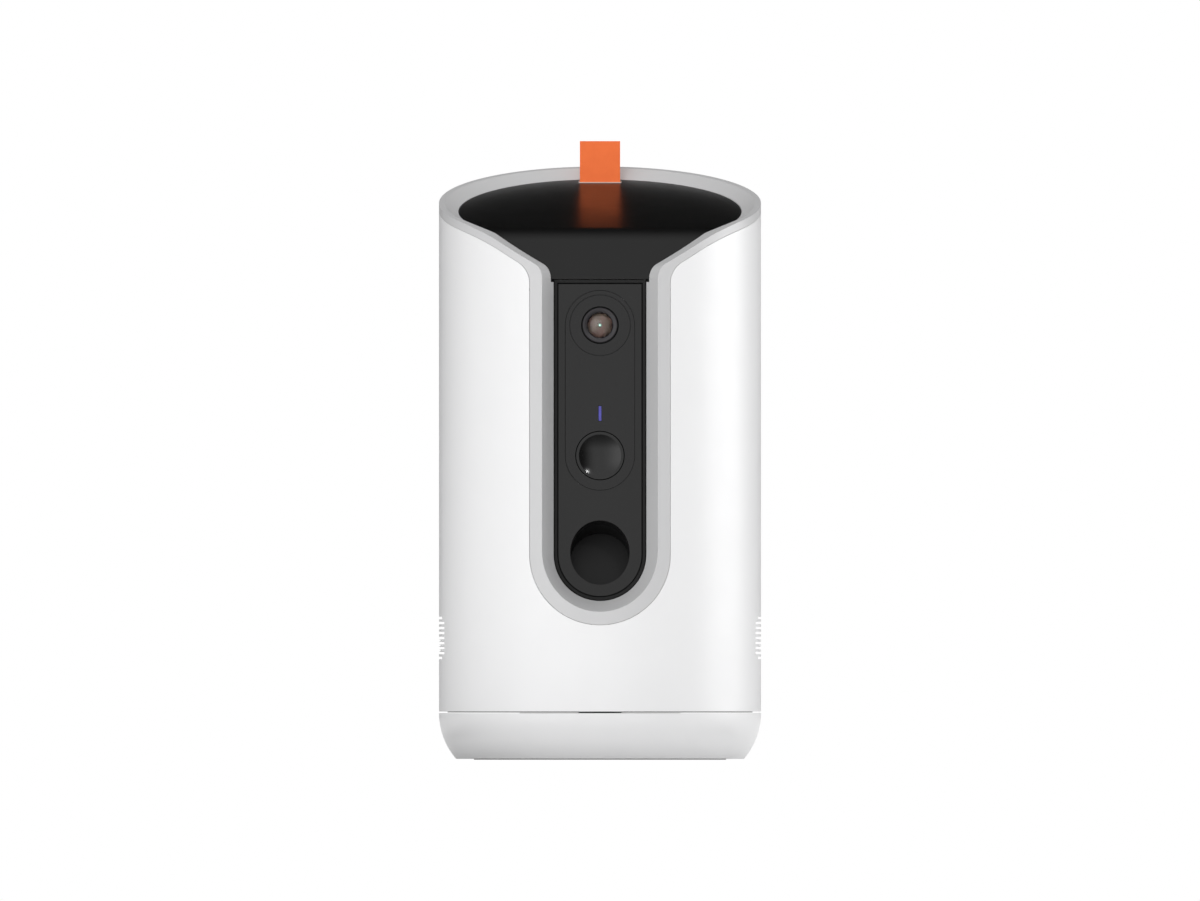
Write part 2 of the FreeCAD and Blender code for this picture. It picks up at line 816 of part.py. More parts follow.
def wind_wheel():
    y, z = sector_centre()
    wheel = gear_x(wheel_teeth, wheel_teeth, wind_mesh_angle(), y, z, wheel_place, wheel_width)
    bore = rod(gear_shaft_radius, V(0, y, z), V(2 * wheel_place + wheel_width, y, z))
    return wheel.cut(bore)


def wind_pinion():
    y, z = wind_motor_centre()
    first = wind_mesh_angle() + math.pi + math.pi / pinion_teeth
    pinion = gear_x(pinion_teeth, pinion_teeth, first, y, z, wheel_place, wheel_width)
    shaft = rod(motor_shaft_radius, V(wheel_place, y, z), V(cheek_outer + motor_shaft_reach, y, z))
    return pinion.fuse(shaft)


def wind_motor():
    y, z = wind_motor_centre()
    start = cheek_outer + run_gap
    motor = rod(motor_radius, V(start, y, z), V(speaker_inner - wind_motor_end_gap, y, z))
    bore_end = cheek_outer + motor_shaft_reach + run_gap
    bore = rod(motor_shaft_radius + fit_gap, V(start - 1, y, z), V(bore_end, y, z))
    return motor.cut(bore)


def cheek(side):
    """Side plate that carries the barrel and the gear shaft."""
    def axis_height(y):
        return outlet_height - (y - panel_face) * math.tan(math.radians(launch_angle))
    foot_back = cheek_front + cheek_foot_length
    back = cheek_front + cheek_length
    knee = turntable_top + cheek_knee_rise
    outline = [(cheek_front, turntable_top), (foot_back, turntable_top), (back, knee),
               (back, axis_height(back)), (cheek_front, axis_height(cheek_front))]
    low, high = sorted((side * cheek_inner, side * cheek_outer))
    plate = prism_x(outline, low, high)
    y, z = sector_centre()
    plate = plate.cut(rod(gear_shaft_radius + fit_gap, V(low - 1, y, z), V(high + 1, y, z)))
    if side > 0:
        y, z = wind_motor_centre()
        plate = plate.cut(rod(motor_shaft_radius + run_gap, V(low - 1, y, z), V(high + 1, y, z)))
    return plate


# ---- turntable -----------------------------------------------------------
def turntable():
    disc = cylinder(core_radius, turntable_bottom, turntable_bottom + core_height)
    disc = disc.fuse(cylinder(turntable_radius, turntable_bottom + core_height, turntable_top))
    y, z = wind_motor_centre()
    cradle_x = cheek_outer + cradle_inset
    cradle_half = motor_radius - cradle_shoulder
    cradle = block(cradle_x, cradle_x + cradle_width, y - cradle_half, y + cradle_half,
                   turntable_top, z - motor_radius / 2)
    cradle = cradle.cut(rod(motor_radius + seat_gap, V(0, y, z), V(reach, y, z)))
    disc = disc.fuse(cradle)
    ear_height = turntable_top + pan_motor_rise
    for side in (-1, 1):
        x = side * pan_ear_spread
        disc = disc.fuse(cylinder(standoff_radius, turntable_top, ear_height, x, pan_motor_y))
    bore = cylinder(axle_radius + fit_gap, 0, turntable_top + 1)
    return disc.cut(bore).removeSplitter()


def pan_motor():
    low = turntable_top + pan_motor_rise
    top = barrel_point(barrel_length + end_cap_thickness, barrel_radius)[1] - pan_motor_top_gap
    ear_half_width = pan_ear_spread + pan_ear_margin
    ears = wide_block(ear_half_width, pan_motor_y - motor_ear_half_depth, pan_motor_y + motor_ear_half_depth,
                      low, low + motor_ear_thickness)
    motor = cylinder(motor_radius, low, top, 0, pan_motor_y).fuse(ears)
    bore_top = low + motor_ear_thickness + run_gap
    return motor.cut(cylinder(motor_shaft_radius + fit_gap, low - 1, bore_top, 0, pan_motor_y))


def support_posts():
    posts = []
    body = hopper_outside()
    for degrees in post_angles:
        x = post_reach * math.cos(math.radians(degrees))
        y = post_reach * math.sin(math.radians(degrees))
        posts.append(cylinder(post_radius, turntable_top, funnel_top, x, y).cut(body))
    return Part.makeCompound([post.Solids[0] for post in posts])


def speaker_housing():
    box = block(speaker_inner, speaker_outer, -speaker_half_width, speaker_half_width,
                turntable_top, speaker_top)
    start = V(speaker_inner + speaker_back, 0, speaker_height)
    return box.cut(rod(speaker_radius + seat_gap, start, V(speaker_outer + 1, 0, speaker_height)))


def speaker():
    magnet_start = speaker_inner + speaker_back
    frame_start = magnet_start + speaker_magnet_length
    frame = rod(speaker_radius, V(frame_start, 0, speaker_height), V(speaker_outer, 0, speaker_height))
    throat = V(speaker_outer - cone_depth, 0, speaker_height)
    dish = Part.makeCone(cone_throat_radius, speaker_radius - speaker_rim, cone_length, throat, X_AXIS)
    magnet = rod(speaker_radius / 2, V(magnet_start, 0, speaker_height), V(frame_start, 0, speaker_height))
    return frame.cut(dish).fuse(magnet)


# ---- shell and bezel -----------------------------------------------------
def grille_slots():
    slots = []
    for index in range(grille_rows):
        height = speaker_height + (index - (grille_rows - 1) / 2) * grille_pitch
        edge_row = index in (0, grille_rows - 1)
        half = grille_short_half_length if edge_row else grille_half_length
        low = height - grille_slot / 2
        for side in (-1, 1):
            x_low, x_high = sorted((side * (body_radius - grille_cut_depth), side * (body_radius + 1)))
            slots.append(block(x_low, x_high, -half, half, low, low + grille_slot))
    return slots


def outer_shell():
    shell = ring(body_radius, shell_inner_radius, body_bottom, rim_height + rim_slope * reach)
    shell = shell.cut(slanted_slab(rim_height - rim_band, 3 * rim_height))
    shell = shell.cut(upper_prism(band_half_width, shell_flare_radius, rim_band, -reach, 0))
    top = flare_numbers(band_half_width, shell_flare_radius, rim_band, -body_radius)[4] + 2
    shell = shell.cut(channel_prism(band_half_width, -reach, 0, top))
    return shell.cut(grille_slots())


def band_region(shrink):
    """Spaces of the bezel's outer band: above the parting line, in the flares and in the channel."""
    half_width = band_half_width - shrink
    above = slanted_slab(rim_height - rim_band + shrink, 3 * rim_height)
    flares = upper_prism(half_width, shell_flare_radius, rim_band - shrink, -reach, 0)
    top = flare_numbers(half_width, shell_flare_radius, rim_band, -body_radius)[4] + 2
    return above, flares, channel_prism(half_width, -reach, 0, top)


def bezel_frame():
    roof = rim_height + rim_slope * reach
    wall = ring(body_radius, rim_inner_radius, channel_round_height - band_half_width - 1, roof)
    above, flares, channel = band_region(seat_gap)
    frame = wall.common(above).fuse([wall.common(flares), wall.common(channel)])
    core = ring(shell_inner_radius - seat_gap, rim_inner_radius, rim_height / 2, roof)
    core = core.common(slanted_slab(rim_height - bezel_depth, rim_height - rim_band + 1))
    frame = frame.fuse(core)
    side = channel_prism(band_half_width - seat_gap, -reach, panel_back, bezel_step_height)
    side = side.common(cylinder(rim_inner_radius + 1, 0, bezel_step_height))
    frame = frame.fuse(side)
    frame = frame.cut(mouth_tool())
    frame = frame.cut(upper_prism(recess_half_width, channel_flare_radius, 0.0, panel_face, 0))
    frame = frame.cut(slanted_slab(rim_height, 3 * rim_height))
    frame = frame.cut(channel_prism(recess_half_width, panel_face - 1, 0, bezel_step_height + 4))
    return frame.cut(bevel_tool())


# ---- panel ---------------------------------------------------------------
def light_block(gap, y_low, y_high):
    half_length = light_length / 2 + gap
    low = light_height - half_length
    return wide_block(light_width / 2 + gap, y_low, y_high, low, low + 2 * half_length)


def front_panel():
    panel = channel_prism(panel_half_width, panel_face, panel_back, panel_top)
    window = slot_prism(window_half_width + window_gap, button_height, camera_height,
                        panel_face - 1, panel_face + window_depth)
    panel = panel.cut(window)
    panel = panel.cut(front_rod(camera_radius, panel_face - 1, panel_back + 1, camera_height))
    panel = panel.cut(front_rod(button_radius, panel_face - 1, panel_back + 1, button_height))
    panel = panel.cut(light_block(seat_gap, panel_face - 1, panel_back + 1))
    return panel.cut(barrel_rod(bore_radius, -20, 20))


def window_plate():
    plate = slot_prism(window_half_width, button_height, camera_height,
                       panel_face, panel_face + window_depth)
    plate = plate.cut(front_rod(camera_radius, panel_face - 1, panel_back, camera_height))
    plate = plate.cut(front_rod(button_radius, panel_face - 1, panel_back, button_height))
    return plate.cut(light_block(seat_gap, panel_face - 1, panel_back))


def panel_frame():
    trim_inner = trim_half_width - trim_width
    inner_top = panel_top + trim_gap
    outer_top = inner_top + trim_width
    trim = channel_prism(trim_half_width, panel_face, panel_back, outer_top)
    trim = trim.cut(channel_prism(trim_inner, panel_face - 1, panel_back, inner_top))
    carrier = channel_prism(carrier_half_width, panel_back, carrier_back, outer_top)
    board_face = button_board_face()
    for height in (button_board_bottom + board_post_inset, button_board_top - board_post_inset):
        for side in (-1, 1):
            post = front_rod(board_post_radius, carrier_back, board_face, height, side * board_post_spread)
            carrier = carrier.fuse(post)
    frame = trim.fuse(carrier)
    frame = frame.cut(front_rod(camera_radius + seat_gap, panel_back, carrier_back + 1, camera_height))
    flange_room = button_radius + button_flange + run_gap
    frame = frame.cut(front_rod(flange_room, panel_back, carrier_back + 1, button_height))
    frame = frame.cut(light_block(seat_gap, panel_back - 1, carrier_back + 1))
    return frame.cut(barrel_rod(barrel_radius + seat_gap, -20, 20))


def camera_barrel():
    face = panel_face + camera_setback
    body = front_rod(camera_radius - camera_gap, face, face + camera_barrel_length, camera_height)
    seat = front_rod(lens_radius + fit_gap, face - 1, face + lens_seat_depth, camera_height)
    cone = Part.makeCone(lens_radius + lens_cone_width, lens_radius, lens_cone_depth,
                         V(0, face, camera_height), Y_AXIS)
    return body.cut(seat).cut(cone)


def lens_glass():
    apex = panel_face + lens_recess
    seat = panel_face + camera_setback + lens_seat_depth
    centre = V(0, apex + lens_dome_radius, camera_height)
    ball = Part.makeSphere(lens_dome_radius, centre)
    return ball.common(front_rod(lens_radius, apex - 1, seat, camera_height))


def camera_mount_back():
    return carrier_back + camera_mount_length


def camera_mount():
    back = camera_mount_back()
    mount = front_rod(camera_mount_radius, carrier_back, back, camera_height)
    barrel_hole = camera_radius - camera_gap + seat_gap
    return mount.cut(front_rod(barrel_hole, carrier_back - 1, back + 1, camera_height))


def camera_board():
    start = max(camera_mount_back(), panel_face + camera_setback + camera_barrel_length)
    half = camera_board_size / 2
    back = start + board_thickness
    chip_half = camera_chip_half_width
    board = wide_block(half, start, back, camera_height - half, camera_height + half)
    chip_low = camera_height - chip_half
    chip = wide_block(chip_half, back, back + chip_height, chip_low, chip_low + 2 * chip_half)
    return board.fuse(chip)


def light_pipe():
    return light_block(0.0, panel_face + light_setback, button_board_face() - seat_gap)


def button_stem_end():
    return panel_face + button_cap_thickness + button_flange_thickness + button_stem_length


def button_board_face():
    return button_stem_end() + button_travel + seat_gap + switch_height


def button_cap():
    back = panel_face + button_cap_thickness
    flange_back = back + button_flange_thickness
    cap = front_rod(button_radius - button_gap, panel_face, back, button_height)
    cap = cap.fuse(front_rod(button_radius + button_flange, back, flange_back, button_height))
    cap = cap.fuse(front_rod(button_stem_radius, flange_back, button_stem_end(), button_height))
    ball_radius = (dish_radius ** 2 + dish_depth ** 2) / (2 * dish_depth)
    centre = V(0, panel_face + dish_depth - ball_radius, button_height)
    return cap.cut(Part.makeSphere(ball_radius, centre))


def button_board():
    face = button_board_face()
    board = wide_block(button_board_half_width, face, face + board_thickness,
                       button_board_bottom, button_board_top)
    switch = wide_block(switch_half_width, face - switch_height, face,
                        button_height - switch_half_width, button_height + switch_half_width)
    return board.fuse(switch)


def main_board():
    face = hopper_face - boss_length - main_board_thickness
    back = face + main_board_thickness
    middle = (main_board_bottom + main_board_top) / 2
    chip_half = main_chip_half_width
    board = wide_block(main_board_half_width, face, back, main_board_bottom, main_board_top)
    chip = wide_block(chip_half, back, back + chip_height, middle - chip_half, middle + chip_half)
    return board.fuse(chip)


def chamber_cover():
    plate = wide_block(reach, carrier_back, hopper_face - seat_gap,
                       cover_height, cover_height + cover_thickness)
    return plate.common(cylinder(rim_inner_radius - seat_gap, cover_height, cover_height + cover_thickness))


# ---- hopper --------------------------------------------------------------
def d_prism(radius, front, low, high):
    """Round column with its front cut off flat."""
    return cylinder(radius, low, high).common(wide_block(reach, front, reach, low, high))


def funnel(grow, drop):
    height = funnel_top - well_top
    return Part.makeCone(well_radius + grow, funnel_radius + grow, height,
                         V(0, well_y, well_top - drop), Z_AXIS)


def hopper_outside():
    column = d_prism(hopper_radius + hopper_wall, hopper_face, well_top - 1, funnel_top)
    tub = d_prism(hopper_radius + hopper_wall, hopper_face, funnel_top - 1, 2 * rim_height)
    well = cylinder(well_radius + hopper_wall, well_foot, well_top, 0, well_y)
    return funnel(hopper_wall, funnel_drop).common(column).fuse([tub, well])


def hopper_inside():
    column = d_prism(hopper_radius, hopper_front, well_top - 1, funnel_top + 1)
    tub = d_prism(hopper_radius, hopper_front, funnel_top - 0.5, 2 * rim_height + 1)
    well = cylinder(well_radius, well_floor, well_top + 1, 0, well_y)
    return funnel(0.0, 0.0).common(column).fuse([tub, well])


def hopper():
    tub = hopper_outside().cut(hopper_inside())
    tub = tub.cut(slanted_slab(lid_height - hopper_top_drop, 3 * rim_height))
    tub = tub.cut(cylinder(reach, 0, well_top))
    for height in boss_heights:
        for side in (-1, 1):
            x = side * boss_spread
            boss = front_rod(boss_radius, hopper_face - boss_length, hopper_face + 1, height, x)
            tub = tub.fuse(boss)
    return tub.removeSplitter()


def dosing_well():
    """Cup under the hopper that the rotor turns in, with the drop hole in its floor."""
    cup = cylinder(well_radius + hopper_wall, well_foot, well_top - seat_gap, 0, well_y)
    cup = cup.cut(cylinder(well_radius, well_floor, well_top, 0, well_y))
    cup = cup.cut(cylinder(drop_radius, well_foot - 1, well_floor + 1, 0, drop_y))
    return cup.cut(cylinder(rotor_shaft_radius + fit_gap, well_foot - 1, well_floor + 1, 0, well_y))


def portion_shield():
    plate = wide_block(shield_half_width, hopper_front, shield_back, well_top, well_top + shield_thickness)
    return plate.common(hopper_inside())


def dosing_rotor():
    low = well_floor + run_gap
    top = low + rotor_height
    wheel = cylinder(well_radius - 2 * run_gap, low, top, 0, well_y)
    for index in range(pocket_count):
        angle = 2 * math.pi * index / pocket_count - math.pi / 2
        x = drop_reach * math.cos(angle)
        y = well_y + drop_reach * math.sin(angle)
        wheel = wheel.cut(cylinder(pocket_radius, low - 1, top + 1, x, y))
    cone = Part.makeCone(rotor_hub_radius, rotor_tip_radius, rotor_hub_height, V(0, well_y, top), Z_AXIS)
    shaft = cylinder(rotor_shaft_radius, well_foot - rotor_shaft_depth, low, 0, well_y)
    return wheel.fuse([cone, shaft])


def dosing_motor():
    low = well_foot - dosing_motor_length
    motor = cylinder(motor_radius - seat_gap, low, well_foot, 0, well_y)
    ears = block(-motor_ear_half_width, motor_ear_half_width, well_y - motor_ear_half_depth,
                 well_y + motor_ear_half_depth, well_foot - motor_ear_thickness, well_foot)
    bore_low = well_foot - rotor_shaft_depth - run_gap
    return motor.fuse(ears).cut(cylinder(rotor_shaft_radius + fit_gap, bore_low, well_foot + 1, 0, well_y))


def chute_rod(radius):
    top = V(0, drop_y, well_foot)
    foot = V(0, chute_foot_y, chute_foot_height)
    return rod(radius, top, foot)


def feed_chute():
    top = V(0, drop_y, well_foot)
    foot = V(0, chute_foot_y, chute_foot_height)
    back = top.sub(foot)
    above = top.add(V(back).normalize().multiply(chute_overrun))
    tube = rod(drop_radius + chute_wall, above, foot).cut(rod(drop_radius, above.add(back), foot.sub(back)))
    tube = tube.cut(wide_block(reach, -reach, reach, well_foot, 2 * rim_height))
    tube = tube.cut(barrel_rod(barrel_radius, -20, barrel_length))
    return max(tube.Solids, key=lambda solid: solid.Volume)


# ---- lid -----------------------------------------------------------------
def lid_profile(drop):
    """Side view of the lid's top: slanted top, rounded knee and steep apron."""
    top_angle = math.atan(rim_slope)
    apron_angle = math.atan(apron_slope)
    knee_y = (lid_foot - apron_slope * apron_start - lid_height) / (rim_slope - apron_slope)
    knee_z = lid_height + rim_slope * knee_y
    length = knee_radius * math.tan((apron_angle - top_angle) / 2)
    knee_z -= drop
    back_point = V(0, knee_y + length * math.cos(top_angle), knee_z + length * math.sin(top_angle))
    front_point = V(0, knee_y - length * math.cos(apron_angle), knee_z - length * math.sin(apron_angle))
    centre = V(0, back_point.y + knee_radius * math.sin(top_angle),
               back_point.z - knee_radius * math.cos(top_angle))
    middle_angle = math.pi / 2 + (top_angle + apron_angle) / 2
    middle = centre.add(V(0, knee_radius * math.cos(middle_angle), knee_radius * math.sin(middle_angle)))
    far = V(0, reach, lid_height + rim_slope * reach - drop)
    near = V(0, -reach, lid_foot + apron_slope * (-reach - apron_start) - drop)
    low = -2 * reach
    edges = [line(far, back_point), arc(back_point, middle, front_point), line(front_point, near),
             line(near, V(0, -reach, low)), line(V(0, -reach, low), V(0, reach, low)),
             line(V(0, reach, low), far)]
    return edges


def under_lid_profile(drop):
    face = closed_face(lid_profile(drop))
    face.translate(V(-reach, 0, 0))
    return face.extrude(V(2 * reach, 0, 0))


def d_ring(outer, width, front, low, high):
    ring_solid = d_prism(outer, front, 0, 2 * rim_height)
    ring_solid = ring_solid.cut(d_prism(outer - width, front + width, -1, 2 * rim_height + 1))
    return ring_solid.common(slanted_slab(low, high))


def tab_slot(gap, low):
    return block(-tab_width / 2 - gap, tab_width / 2 + gap, tab_y - tab_thickness / 2 - gap,
                 tab_y + tab_thickness / 2 + gap, low, tab_top)


def lid_screw_places():
    side_x = hopper_radius - lid_screw_side_inset
    back_y = hopper_radius - lid_screw_back_inset
    front_y = hopper_front + lid_screw_front_inset
    return [(-side_x, lid_screw_side_y), (side_x, lid_screw_side_y), (0.0, back_y), (0.0, front_y)]


def lid_shell():
    plate = under_lid_profile(0.0).cut(under_lid_profile(lid_wall))
    plate = plate.common(cylinder(lid_radius, lid_foot, 2 * rim_height))
    plate = plate.cut(wide_block(reach, -reach, apron_start, 0, 2 * rim_height))
    skirt = d_ring(lid_radius, lid_skirt_width, hopper_front - lid_skirt_width,
                   lid_height - lid_skirt_depth, lid_height - lid_wall / 2)
    lid = plate.fuse(skirt)
    lid = lid.cut(tab_slot(seat_gap, lid_foot))
    for x, y in lid_screw_places():
        height = lid_height + rim_slope * y
        lid = lid.cut(cylinder(lid_screw_radius, height - liner_top - 1, height - lid_wall / 2, x, y))
    return lid.removeSplitter()


def tab_foot(gap):
    foot = block(-tab_width / 2 - gap, tab_width / 2 + gap, tab_y - tab_foot_length - gap,
                 tab_y + tab_thickness / 2 + gap, lid_foot, 2 * rim_height)
    top = lid_height - lid_wall - seat_gap + gap
    return foot.common(slanted_slab(top - tab_foot_thickness - 2 * gap, top))


def pull_tab():
    upright = tab_slot(0.0, lid_height)
    upright = upright.common(slanted_slab(lid_height - lid_wall - tab_foot_thickness, 3 * rim_height))
    return upright.fuse(tab_foot(0.0)).removeSplitter()


def lid_liner():
    radius = lid_radius - lid_skirt_width - run_gap
    front = hopper_front + run_gap
    liner = d_prism(radius - liner_gap, front + liner_gap, 0, 2 * rim_height)
    liner = liner.common(slanted_slab(lid_height - liner_depth, lid_height - liner_top))
    inset = liner_gap + liner_wall
    hollow = d_prism(radius - inset, front + inset, 0, 2 * rim_height)
    hollow = hollow.common(slanted_slab(0, lid_height - liner_top - liner_wall - tab_foot_thickness))
    liner = liner.cut(hollow)
    liner = liner.cut(tab_foot(seat_gap))
    for x, y in lid_screw_places():
        height = lid_height + rim_slope * y
        liner = liner.cut(cylinder(lid_screw_radius + seat_gap, 0, height, x, y))
    return liner


def lid_seal():
    return d_ring(lid_radius - run_gap, lid_skirt_width, hopper_front - lid_skirt_width + run_gap,
                  lid_height - seal_depth, lid_height - lid_skirt_depth)


def lid_screws():
    screws = []
    for x, y in lid_screw_places():
        height = lid_height + rim_slope * y
        top = height - lid_wall / 2 - seat_gap
        low = height - liner_top - liner_wall - tab_foot_thickness
        head_top = low - 2 * lid_screw_radius * rim_slope - seat_gap
        shank = cylinder(lid_screw_radius, head_top - lid_screw_head_height, top, x, y)
        head = cylinder(2 * lid_screw_radius, head_top - lid_screw_head_height, head_top, x, y)
        screws.append(shank.fuse(head))
    return Part.makeCompound(screws)


# ---- all nodes -----------------------------------------------------------
NODES = {
    "base_shell": base_shell,
    "base_plate": base_plate,
    "foot_ring": foot_ring,
    "base_screws": base_screws,
    "ballast_ring": ballast_ring,
    "thrust_washer": thrust_washer,
    "pan_axle": pan_axle,
    "pan_gear": pan_gear,
    "power_socket": power_socket,
    "power_board": power_board,
    "turntable": turntable,
    "pan_motor": pan_motor,
    "pan_pinion": pan_pinion,
    "support_posts": support_posts,
    "speaker_housing": speaker_housing,
    "speaker": speaker,
    "outer_shell": outer_shell,
    "bezel_frame": bezel_frame,
    "front_panel": front_panel,
    "window_plate": window_plate,
    "panel_frame": panel_frame,
    "camera_barrel": camera_barrel,
    "lens_glass": lens_glass,
    "camera_mount": camera_mount,
    "camera_board": camera_board,
    "light_pipe": light_pipe,
    "button_cap": button_cap,
    "button_board": button_board,
    "main_board": main_board,
    "chamber_cover": chamber_cover,
    "launch_barrel": launch_barrel,
    "barrel_end_cap": barrel_end_cap,
    "striker": striker,
    "striker_spring": striker_spring,
    "sector_gear": sector_gear,
    "wind_wheel": wind_wheel,
    "wind_pinion": wind_pinion,
    "wind_motor": wind_motor,
    "cheek_left": lambda: cheek(-1),
    "cheek_right": lambda: cheek(1),
    "hopper": hopper,
    "dosing_well": dosing_well,
    "portion_shield": portion_shield,
    "dosing_rotor": dosing_rotor,
    "dosing_motor": dosing_motor,
    "feed_chute": feed_chute,
    "lid_shell": lid_shell,
    "lid_liner": lid_liner,
    "lid_seal": lid_seal,
    "lid_screws": lid_screws,
    "pull_tab": pull_tab,
}

os.makedirs("parts", exist_ok=True)
for name, make in NODES.items():
    shape = make()
    print(name, len(shape.Solids), round(shape.Volume, 1), shape.isValid())
    shape.exportStep("parts/" + name + ".step")
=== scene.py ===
import math

import bmesh
import bpy
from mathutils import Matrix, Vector


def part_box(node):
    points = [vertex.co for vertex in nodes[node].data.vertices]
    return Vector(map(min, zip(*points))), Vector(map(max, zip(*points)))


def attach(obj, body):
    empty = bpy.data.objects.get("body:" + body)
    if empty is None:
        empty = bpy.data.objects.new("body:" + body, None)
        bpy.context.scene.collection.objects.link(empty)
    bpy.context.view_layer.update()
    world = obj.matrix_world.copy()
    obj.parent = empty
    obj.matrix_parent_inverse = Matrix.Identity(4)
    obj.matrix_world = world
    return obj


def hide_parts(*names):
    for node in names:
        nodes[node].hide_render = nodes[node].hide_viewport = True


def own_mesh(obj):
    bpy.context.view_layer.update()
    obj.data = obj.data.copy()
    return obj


MM = 0.001
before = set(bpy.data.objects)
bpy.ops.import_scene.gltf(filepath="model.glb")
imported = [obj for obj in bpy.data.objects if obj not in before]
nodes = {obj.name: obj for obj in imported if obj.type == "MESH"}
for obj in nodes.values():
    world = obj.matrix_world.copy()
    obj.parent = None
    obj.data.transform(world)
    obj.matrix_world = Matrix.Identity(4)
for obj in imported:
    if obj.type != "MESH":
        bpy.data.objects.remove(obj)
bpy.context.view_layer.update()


# ---- sizes shared with the part, in millimetres ----------------------------
def span(node, letter):
    """Lowest and highest place of a CAD piece along one axis."""
    axis = "XYZ".index(letter)
    return [round(corner[axis] / MM, 4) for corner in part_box(node)]


def middle(node, letter):
    return sum(span(node, letter)) / 2


def length(node, letter):
    low, high = span(node, letter)
    return high - low


# typed, because no piece's box gives them; they agree with the part's source
BUTTON_RADIUS = 8.9
LID_SLOPE = 0.2275
LID_HEIGHT = 204.3
TAB_THICKNESS = 2.0
OUTLET_HEIGHT = 77.15
LAUNCH_ANGLE = math.radians(22.5)
SPRING_FRONT = 10.1
SPRING_BACK = 57.4
SPRING_RADIUS = 8.1
SPRING_WIRE = 1.0
SPRING_TURNS = 8

# read from the frame
PANEL_FACE = span("front_panel", "Y")[0]
CAMERA_HEIGHT = middle("camera_barrel", "Z")
BARREL_RADIUS = length("camera_barrel", "Z") / 2
BARREL_LENGTH = length("camera_barrel", "Y")
LIGHT_HEIGHT = middle("light_pipe", "Z")
BUTTON_HEIGHT = middle("button_cap", "Z")
TAB_WIDTH = length("pull_tab", "X")
TAB_Y = span("pull_tab", "Y")[1] - TAB_THICKNESS / 2

# ---- sizes of the pieces made here, in millimetres -------------------------
RING_FACE = PANEL_FACE + 0.2
RING_RADIUS = 6.5
RING_ROUNDING = 0.3
RING_LAND = 6.15
RING_SHOULDER = 1.6
STEP_RADIUS = 5.15
STEP_DEPTH = 0.28
STEP_ROUNDING = 0.2
STEP_SLANT = 0.12
WELL_CLEARANCE = 0.12
WELL_DEPTH = 0.75
WELL_FLOOR_GAP = 0.05
GLASS_APEX = PANEL_FACE + 0.6
GLASS_BACK = PANEL_FACE + 4.2
GLASS_RADIUS = 4.6
GLASS_WALL = 0.5
DOME_RADIUS = 8.0
COATED_APEX = GLASS_APEX + GLASS_WALL + 0.35
COATED_RADIUS = GLASS_RADIUS - 0.05
IRIS_APEX = COATED_APEX - 0.16
IRIS_ROOT = GLASS_BACK - 1.0
IRIS_RADIUS = 0.95
IRIS_DOME = 1.6
CORE_APEX = COATED_APEX - 0.28
CORE_ROOT = GLASS_BACK - 1.5
CORE_RADIUS = 0.58
CORE_DOME = 0.7
BEAD_RADIUS = 11.3
BEAD_WIDTH = 0.36
BEAD_CREST = 0.26
BEAD_HEIGHT = 0.03
BEAD_ROOT = 0.1
LIP_WIDTH = 0.5
LIP_HEIGHT = 0.3
LIP_SLANT = 0.15
LIP_ROUNDING = 0.08
SAME_POINT = 0.0001     # points closer than this are joined, on the camera's axis

# ---- finishes, in millimetres where they are sizes ---------------------------
NOISE_LOW = 0.3         # most values of a noise lie between these two
NOISE_HIGH = 0.7
BEVEL_SAMPLES = 6
PATCH_SIZE = 14.0       # of the patches of slightly other gloss on moulded pieces
COATING_PITCH = 0.3     # of the turned rings in the lens coating
BUTTON_EDGE = 0.1       # width over which the button's gloss ends
GLOW_REACH = 2.9        # distance from the status light's middle at which it is dimmest
GLOW_END = 0.55         # share of its brightness that is left there

# ---- stage, in metres and degrees --------------------------------------------
SEEN = ("Is Camera Ray", "Is Glossy Ray", "Is Transmission Ray")   # rays that see a white room
WORLD_GLOW = 0.54       # the room's light on the object
AIM_HEIGHT = 0.12
FLOOR_HALF = 14.0
FLOOR_DROP = 0.0002
FLOOR_LIFT = 0.34       # glow that brings the floor up to white for the rays in SEEN
FLOOR_TONE = 0.8
FLOOR_PATCH_TONE = 0.79
FLOOR_PATCH_SIZE = 60.0     # in millimetres
SHADE_TONE = 0.3        # of the floor close to the object, for the light it sends up
SHADE_NEAR = 0.06       # the shade is full up to this distance from the object's axis
SHADE_FAR = 0.12
SHADE_RIGHT = 0.35      # share of the shade that is left at the object's right
CARD_LIFT = 0.001
CARD_STEP = 5           # between the pairs of corners of a bent card
CANOPY_RADIUS = 1.5
CANOPY_HALF = 4.0
CANOPY_GLOW = 0.85
SURROUND_RADIUS = 1.4
SURROUND_HEIGHT = 1.2
WINDOW_GLOW = 0.8
WINDOW_FADE = 0.3       # height from which the window at the left fades out
RIGHT_GLOW = 0.05
GROUND_GLOW = 0.1
GROUND_NEAR = 0.07      # inner edge of the ground card, where it is darkest
GROUND_FAR = 0.45
CAMERA_DISTANCE = 2.0
CAMERA_EYE = 0.1152
CAMERA_RANGE = 20.0
PICTURE_WIDTH = 0.4472


# ---- material helpers ----------------------------------------------------
def grey(tone):
    return (tone, tone, tone)


WHITE = grey(1.0)
BLACK = grey(0.0)


